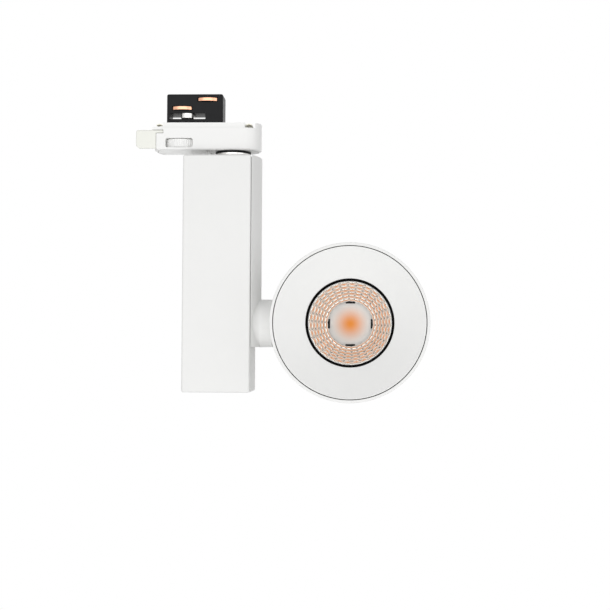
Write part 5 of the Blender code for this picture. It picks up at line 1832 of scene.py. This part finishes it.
@dataclass
class LampHead:
    """The barrel, the funnel bezel and the black baffle ring."""

    body: str = "head"
    wall: float = 3.0 * MM
    lip: float = 1.7 * MM
    lip_depth: float = 15.0 * MM
    rim_round: float = 0.3 * MM
    bezel_wall: float = 1.8 * MM
    bezel_press: float = 0.1 * MM
    bezel_hole: float = 27.0 * MM
    bezel_depth: float = 12.0 * MM
    baffle_edge: float = 0.5 * MM
    baffle_flange: float = 2.0 * MM
    edge: float = 0.2 * MM

    @staticmethod
    def span(node: str) -> Triple:
        """A turned node's radius, and how far its front and its back lie in front of the joint."""
        low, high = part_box(node)
        return (high.z - low.z) / 2, -low.y, -high.y

    @staticmethod
    def turned(name: str, profile: Profile, facets: int = HEAD_FACETS) -> Piece:
        """Turn an outline of (radius, distance in front of the joint) about the head's axis."""
        return as_object(name, moved(lathe(profile, facets), Facing.FRONT.at(HEAD_AXIS)))

    def build_barrel(self) -> Piece:
        """The barrel: a tube with a thinner lip in front and a boss where the stub meets it.

        Returns:
            The barrel.
        """
        radius, front, back = self.span("head_barrel")
        lip, bore = radius - self.lip, radius - self.wall
        ledge = front - self.lip_depth
        profile = [(lip, front), (radius, front), (radius, back), (bore, back), (bore, ledge), (lip, ledge)]
        barrel = self.turned("barrel_tube", rounded(profile, self.rim_round, steps=5))
        boss = half_height("pivot_stub")
        reach = self.wall + radius - math.sqrt(radius * radius - boss * boss)
        place = Facing.RIGHT.at((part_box("head_barrel")[0].x, 0.0, HEAD_AXIS.z))
        section = rounded(band(BOLT_BORE, boss, 0.0, reach), self.edge, steps=3)
        combine(barrel, Join.ADD, moved(lathe(section, ROUND_FACETS), place))
        return combine(barrel, Join.CUT, moved(rod(BOLT_BORE, -FIT, 2 * self.wall), place))

    def build_bezel(self) -> Piece:
        """The funnel: a shallow cone from the rim down to the baffle, and a skirt.

        Returns:
            The bezel.
        """
        half, front, foot = self.span("front_bezel")
        radius, hole = half + self.bezel_press, self.bezel_hole
        hole_level = front - self.bezel_depth
        slope = self.bezel_depth / (radius - hole)
        under = hole_level - self.bezel_wall * math.hypot(1.0, slope)
        skirt = radius - self.bezel_wall
        profile = [(radius, front), (radius, foot), (skirt, foot), (skirt, under + slope * (skirt - hole))]
        profile += [(hole, under), (hole, hole_level)]
        return self.turned("funnel_bezel", rounded(profile, self.rim_round, steps=5))

    def build_baffle(self) -> Piece:
        """The black ring inside the funnel's hole, tapering to the reflector.

        Returns:
            The baffle.
        """
        flange, front, back = self.span("baffle_ring")
        outer, top = self.bezel_hole - FIT, back + self.baffle_flange
        profile = [(outer - self.baffle_edge, front), (outer, front), (outer, top), (flange, top)]
        profile += [(flange, back), (Optic.mouth_radius, back)]
        return self.turned("shade_ring", rounded(profile, self.edge, steps=3))

    def dress(self) -> None:
        """Build and finish the barrel, the bezel and the baffle."""
        settle(self.build_barrel(), POWDER_COAT, self.body, "head_barrel")
        settle(self.build_bezel(), BEZEL_COAT, self.body, "front_bezel")
        settle(self.build_baffle(), FLAT_BLACK, self.body, "baffle_ring")


@dataclass
class Optic(LampHead):
    """The facetted reflector, the frosted disc in its clip, and the light source behind them."""

    columns: int = 30
    rows: int = 6
    steps: int = 8
    first_facet: float = math.radians(-3.0)
    facet_crease: float = math.radians(14)
    mouth_radius: float = 25.5 * MM
    neck_radius: float = 14.0 * MM
    reflector_wall: float = 1.2 * MM
    reflector_flange: float = 1.0 * MM
    pillow_across: float = 0.56 * MM
    pillow_along: float = 0.32 * MM
    # Painted shade in the creases: how fast it falls off away from them, and its share away from the column
    # edges.
    crease_shade_fall: float = 1.1
    crease_shade_between: float = 0.22
    tabs: int = 4
    tab_reach: float = 1.2 * MM
    tab_length: float = 6.0 * MM
    tab_thickness: float = 0.8 * MM
    tab_proud: float = 0.2 * MM
    holder_hole: float = 8.0 * MM
    holder_flare: float = 3.0 * MM
    gel_dome: float = 0.25 * MM
    gel_crown: tuple[float, ...] = (0.4, 0.8, 1.2)
    gel_facets: int = 64

    def build_reflector(self) -> Piece:
        """The cup: pillow facets laid over a parabola, a smooth outer wall and a flange.

        Returns:
            The reflector.
        """
        flange, front, back = self.span("reflector")
        cup = CUP.apply(
            as_object("facet_reflector", bmesh.new()),
            MIRROR_COAT,
            Columns=self.columns,
            Rows=self.rows,
            Steps=self.steps,
            Neck=self.neck_radius,
            Mouth=self.mouth_radius,
            Depth=front - back,
            Start=self.first_facet,
            Pillow_Across=self.pillow_across,
            Pillow_Along=self.pillow_along,
            # The painted crease shade.
            Groove_Fall=self.crease_shade_fall,
            Groove_Between=self.crease_shade_between,
        )
        coat(cup, MIRROR_COAT, BARE_WALL)
        bm = bmesh.new()
        bm.from_mesh(cup.data)
        bmesh.ops.recalc_face_normals(bm, faces=bm.faces)
        for face in bm.faces:
            if face.normal.z < 0.0:
                face.normal_flip()
        self.add_outer_wall(bm, front - back, flange)
        bm.to_mesh(cup.data)
        bm.free()
        return placed(cup, Facing.FRONT.at(HEAD_AXIS + Vector((0.0, -back, 0.0))))

    def add_outer_wall(self, bm: Solid, depth: float, flange: float) -> None:
        """Close the cup behind its facets: a flange round the mouth, and a wall down to the neck.

        Args:
            bm: the facets, with the neck at height zero.
            depth: the height of the mouth.
            flange: the flange's radius.
        """
        seam = self.columns * self.steps
        mouth, neck = [None] * seam, [None] * seam
        for vert in {vert for edge in bm.edges if edge.is_boundary for vert in edge.verts}:
            turn = math.atan2(vert.co.y, vert.co.x) - self.first_facet
            rim = mouth if vert.co.z > depth / 2 else neck
            rim[round(turn / math.tau * seam) % seam] = vert
        narrow, wide, wall = self.neck_radius, self.mouth_radius, self.reflector_wall
        under = depth - self.reflector_flange
        curve = []
        for row in range(self.rows + 1):
            radius = narrow + (wide - narrow) * row / self.rows
            height = depth * (radius ** 2 - narrow ** 2) / (wide ** 2 - narrow ** 2)
            if height < under:
                curve.append((radius + wall, height))
        profile = [(flange, depth), (flange, under), (wide + wall, under)] + curve[::-1]
        angles = turns(seam, self.first_facet)
        rings = [vert_ring(bm, radius, height, angles) for radius, height in profile]
        bridge(bm, [neck] + rings[::-1] + [mouth], material=1)

    def build_disc(self) -> Piece:
        """The frosted disc, with an eased rim.

        Returns:
            The disc.
        """
        radius, front, back = self.span("diffuser_disc")
        return self.turned("frosted_disc", rounded(band(0.0, radius, back, front), self.edge), ROUND_FACETS)

    def build_clip(self) -> Piece:
        """The thin black ring round the disc, with four tabs over its edge.

        Returns:
            The clip.
        """
        radius, front, back = self.span("diffuser_clip")
        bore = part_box("diffuser_disc")[1].z - HEAD_AXIS.z + FIT
        half = self.tab_length / 2
        tab = block(
            (self.neck_radius - self.tab_reach, -half, front - self.tab_thickness), (radius, half, front)
        )
        round_edges(tab, self.edge, lambda edge: all(v.co.x < self.neck_radius for v in edge.verts))
        clip = RING.apply(as_object("disc_clip", tab), BLACK_MOULDING, Count=self.tabs)
        section = band(bore, radius - self.tab_proud, back, front - self.tab_proud)
        combine(clip, Join.ADD, lathe(rounded(section, self.edge / 2, steps=2), ROUND_FACETS))
        return placed(clip, Facing.FRONT.at(HEAD_AXIS))

    def build_holder(self) -> Piece:
        """The white holder behind the disc, with a flared hole over the light source.

        Returns:
            The holder.
        """
        radius, front, back = self.span("led_holder")
        hole = self.holder_hole
        profile = [(radius, front), (radius, back), (hole, back), (hole + self.holder_flare, front)]
        holder = self.turned("source_holder", rounded(profile, self.edge, steps=3), ROUND_FACETS)
        low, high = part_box("led_board")
        gap = Vector((FIT, FIT, FIT))
        return combine(holder, Join.CUT, block(low - gap, high + gap + Vector((0.0, FIT, 0.0))))

    def build_gel(self) -> Piece:
        """The phosphor: a low dome of gel.

        Returns:
            The gel.
        """
        radius, front, back = self.span("led_phosphor")
        rim = front - self.gel_dome
        dome = [(radius * math.sin(a), rim + self.gel_dome * math.cos(a)) for a in self.gel_crown]
        profile = [(0.0, front)] + dome + [(radius, rim), (radius, back), (0.0, back)]
        return self.turned("phosphor_gel_dome", profile, self.gel_facets)

    def build_holder_screws(self) -> Piece:
        """Two pan-head screws through the holder.

        Returns:
            The screws.
        """
        low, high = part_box("holder_screw_1")
        offset = abs(centre_of("holder_screw_1").x - HEAD_AXIS.x)
        tall = Screw.head_height
        unit = Screw(half_height("holder_screw_1"), high.y - low.y - tall).pan("holder_screws")
        placed(unit, shift(offset, 0.0, -low.y - tall))
        return placed(RING.apply(unit, SCREW_STEEL, Count=2), Facing.FRONT.at(HEAD_AXIS))

    def dress(self) -> None:
        """Build and finish the optic."""
        cup = self.build_reflector()
        settle(cup, MIRROR_COAT, self.body, "reflector", crease=self.facet_crease, coated=True)
        settle(self.build_disc(), FROST, self.body, "diffuser_disc")
        settle(self.build_clip(), BLACK_MOULDING, self.body, "diffuser_clip")
        settle(self.build_holder(), WHITE_MOULDING, self.body, "led_holder")
        settle(self.build_gel(), GEL, self.body, "led_phosphor")
        settle(self.build_holder_screws(), SCREW_STEEL, self.body, *numbered("holder_screw", 2))


@dataclass
class HeatSink(LampHead):
    """The cast heat sink: a base, a hub and radial fins, with the screws that hold it."""

    fins: int = 24
    fin_root: float = 2.4 * MM
    fin_tip: float = 1.6 * MM
    fin_round: float = 0.4 * MM
    fin_inset: float = 0.02 * MM
    hub: float = 16.0 * MM
    hub_dish: float = 1.2 * MM
    hub_rim: float = 2.4 * MM
    base: float = 5.0 * MM
    pedestal: float = 23.0 * MM
    pedestal_height: float = 4.0 * MM
    relief_facets: int = 64
    screw_head: float = 2.0 * MM

    def build(self) -> Piece:
        """Fins by a ring of copies, joined to a turned base and hub.

        Returns:
            The heat sink.
        """
        radius, front, back = self.span("heat_sink")
        face = front - self.pedestal_height
        root = face - self.base
        fin = self.fin(radius - self.edge, root, back + self.fin_inset)
        sink = RING.apply(as_object("fin_sink", fin), CAST_ALUMINIUM, Count=self.fins, Start=math.pi / 2)
        dish = back + self.hub_dish
        profile = [(0.0, front), (self.pedestal, front), (self.pedestal, face)]
        profile += [(radius, face), (radius, root)]
        profile += [(self.hub, root), (self.hub, back), (self.hub - self.hub_rim, back)]
        profile += [(self.hub - 2 * self.hub_rim, dish), (0.0, dish)]
        combine(sink, Join.ADD, lathe(rounded(profile, self.fin_round, steps=3), ROUND_FACETS))
        relief = half_height("pivot_stub") + FIT
        depth = radius - math.sqrt(radius * radius - relief * relief) + self.wall
        cutter = rod(relief, -FIT, depth, self.relief_facets)
        combine(sink, Join.CUT, moved(cutter, Facing.RIGHT.at((-radius, 0.0, 0.0))))
        return placed(sink, Facing.FRONT.at(HEAD_AXIS))

    def fin(self, radius: float, root: float, end: float) -> Solid:
        """One fin, thicker at the base than at its free edge.

        Args:
            radius: how far it reaches from the axis.
            root: the level of the base's rear face.
            end: the level of the fin's free edge.

        Returns:
            The fin, along +X.
        """
        thick, thin = self.fin_root / 2, self.fin_tip / 2
        start, sunk = self.hub - self.hub_dish, root + self.base / 2
        section = [(-thick, sunk), (thick, sunk), (thin, end), (-thin, end)]
        bm = extruded([(start, y, z) for y, z in section], (radius - start, 0.0, 0.0))
        return round_edges(bm, self.fin_round, lambda edge: all(v.co.z < root for v in edge.verts), steps=3)

    def build_screws(self) -> Piece:
        """Three pan-head screws between fins.

        Returns:
            The screws.
        """
        low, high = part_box("sink_screw_1")
        place = centre_of("sink_screw_1") - HEAD_AXIS
        tall = Screw.head_height
        unit = Screw(self.screw_head, high.y - low.y - tall).pan("sink_screws")
        placed(unit, Facing.DOWN.at((place.x, place.z, tall - high.y)))
        return placed(RING.apply(unit, SCREW_STEEL, Count=3), Facing.FRONT.at(HEAD_AXIS))

    def dress(self) -> None:
        """Build and finish the heat sink and its screws."""
        settle(self.build(), CAST_ALUMINIUM, self.body, "heat_sink")
        settle(self.build_screws(), SCREW_STEEL, self.body, *numbered("sink_screw", 3))


@dataclass
class HiddenWorks:
    """Pieces inside the closed housings, which keep their own shapes and get a finish."""

    finishes: tuple[Finish, ...] = (
        ZINC_STEEL,
        NICKEL_BRASS,
        CAST_ALUMINIUM,
        BOARD_MASK,
        GREY_MOULDING,
        FERRITE,
        SHRINK_SLEEVE,
    )

    def dress(self) -> None:
        """Give each node that still shows the finish of its slot."""
        by_slot = {finish.slot.value: finish for finish in self.finishes}
        for part in frame["record"]["subparts"]:
            thing = frame["nodes"][part["node"]]
            if thing.hide_render:
                continue
            coat(thing, by_slot[part["material_slot"]])
            log.info("%s keeps its own shape", part["node"])


def looking(eye: Place, target: Place) -> Quaternion:
    """The turn by which a camera or a lamp faces a point."""
    return (Vector(target) - Vector(eye)).to_track_quat("-Z", "Y")


@dataclass(frozen=True)
class SoftBox:
    """A square lamp: its place, the length of its sides and its power in watts."""

    name: str
    place: Place
    size: float
    power: float

    def build(self, aim: Place) -> None:
        """Set up the lamp.

        Args:
            aim: the point that it faces.
        """
        data = bpy.data.lights.new(self.name, "AREA")
        data.shape = "SQUARE"
        data.size = self.size
        data.energy = self.power
        lamp = linked(self.name, data)
        lamp.location = self.place
        lamp.rotation_euler = looking(self.place, aim).to_euler()


@dataclass
class Studio:
    """Camera, floor and soft light."""

    eye: Place = (83.0 * MM, -821.0 * MM, -139.65 * MM)
    target: Place = (46.94 * MM, -21.0 * MM, -114.56 * MM)
    roll: float = 0.0058
    lens: float = 77.0
    nearest: float = 0.01
    farthest: float = 50.0
    floor_level: float = -1.6
    floor_size: float = 3.2
    floor_grain: float = 0.05
    floor_roughness: float = 0.9
    floor_colour: Colour = (0.86, 0.86, 0.85)
    floor_tint: Colour = (0.83, 0.83, 0.82)
    shadow_reach: float = 0.5
    white_share: float = 0.9
    ambient: float = 0.42
    aim: Place = (0.03, 0.0, -0.09)
    lamps: tuple[SoftBox, ...] = (
        SoftBox("key", (-0.10, -1.58, -0.25), size=2.4, power=19.9),
        SoftBox("fill", (0.03, -0.77, -1.01), size=1.0, power=1.25),
        SoftBox("side", (1.15, -0.75, 0.15), size=0.8, power=1.9),
        SoftBox("back", (0.20, 1.60, 0.35), size=2.0, power=5.0),
    )

    def build_camera(self) -> None:
        """A camera at the picture's angle."""
        data = bpy.data.cameras.new("camera")
        data.lens = self.lens
        data.clip_start = self.nearest
        data.clip_end = self.farthest
        camera = linked("camera", data)
        camera.location = self.eye
        roll = Quaternion((0.0, 0.0, 1.0), self.roll)
        camera.rotation_euler = (looking(self.eye, self.target) @ roll).to_euler()
        bpy.context.scene.camera = camera

    @staticmethod
    def seen(tree: TreeBuilder) -> Wire:
        """Tell rays from the camera, a mirror or glass from other rays.

        Args:
            tree: the tree to work in.

        Returns:
            One for such rays, and nothing for others.
        """
        path = tree.add("ShaderNodeLightPath")
        total = path.outputs["Is Camera Ray"]
        for label in ("Is Glossy Ray", "Is Transmission Ray"):
            total = tree.calc("MAXIMUM", total, path.outputs[label])
        return total

    def build_world(self) -> None:
        """White to look at, and an even soft light."""
        world = bpy.data.worlds.new("studio")
        world.use_nodes = True
        sky = TreeBuilder(world.node_tree)
        level = sky.mapped(self.seen(sky), self.ambient, 1.0)
        sky.fill(world.node_tree.nodes["Background"], Color=WHITE, Strength=level)
        bpy.context.scene.world = world

    def build_floor(self) -> None:
        """A pale floor that keeps the object's shadow, and fades into the white around it."""
        bm = bmesh.new()
        half = self.floor_size / 2
        bmesh.ops.create_grid(bm, x_segments=1, y_segments=1, size=half)
        floor = as_object("floor", moved(bm, shift(z=self.floor_level)))
        shader = ShaderTree("pale_floor")
        grain = shader.noise(self.floor_grain, detail=3.0)
        colour = shader.mixed(grain, self.floor_colour, self.floor_tint)
        shader.set(Base_Color=colour, Roughness=self.floor_roughness)
        white = shader.add("ShaderNodeEmission", Color=WHITE, Strength=1.0)
        near, far = (math.hypot(self.floor_level, reach) for reach in (self.shadow_reach, half))
        fade = shader.mapped(shader.length(shader.coordinates), self.white_share, 1.0, near, far)
        blend = shader.add("ShaderNodeMixShader", Fac=shader.calc("MULTIPLY", self.seen(shader), fade))
        shader.feed(blend.inputs[1], shader.surface.outputs["BSDF"])
        shader.feed(blend.inputs[2], white.outputs["Emission"])
        shader.fill(shader.tree.nodes["Material Output"], Surface=blend.outputs["Shader"])
        floor.data.materials.append(shader.material)

    def build(self) -> None:
        """Set the stage and the view."""
        bpy.context.scene.view_settings.view_transform = "Standard"
        self.build_camera()
        self.build_world()
        self.build_floor()
        for lamp in self.lamps:
            lamp.build(self.aim)


def clear_start_up_objects() -> None:
    """Remove what the file opened with and the frame doesn't own."""
    kept = set(frame["nodes"].values()) | set(frame["bodies"].values())
    for thing in list(bpy.data.objects):
        if thing not in kept:
            bpy.data.objects.remove(thing, do_unlink=True)


def main() -> None:
    """Build the stage and every sub-assembly, in order."""
    logging.basicConfig(level=logging.INFO, format="%(name)s: %(message)s")
    clear_start_up_objects()
    Studio().build()
    for assembly in (
        TrackAdapter(),
        LockLever(),
        SelectorWheel(),
        Swivel(),
        DriverBox(),
        SideArm(),
        LampHead(),
        Optic(),
        HeatSink(),
        HiddenWorks(),
    ):
        log.info("dressing %s", type(assembly).__name__)
        assembly.dress()


if __name__ == "__main__":
    main()
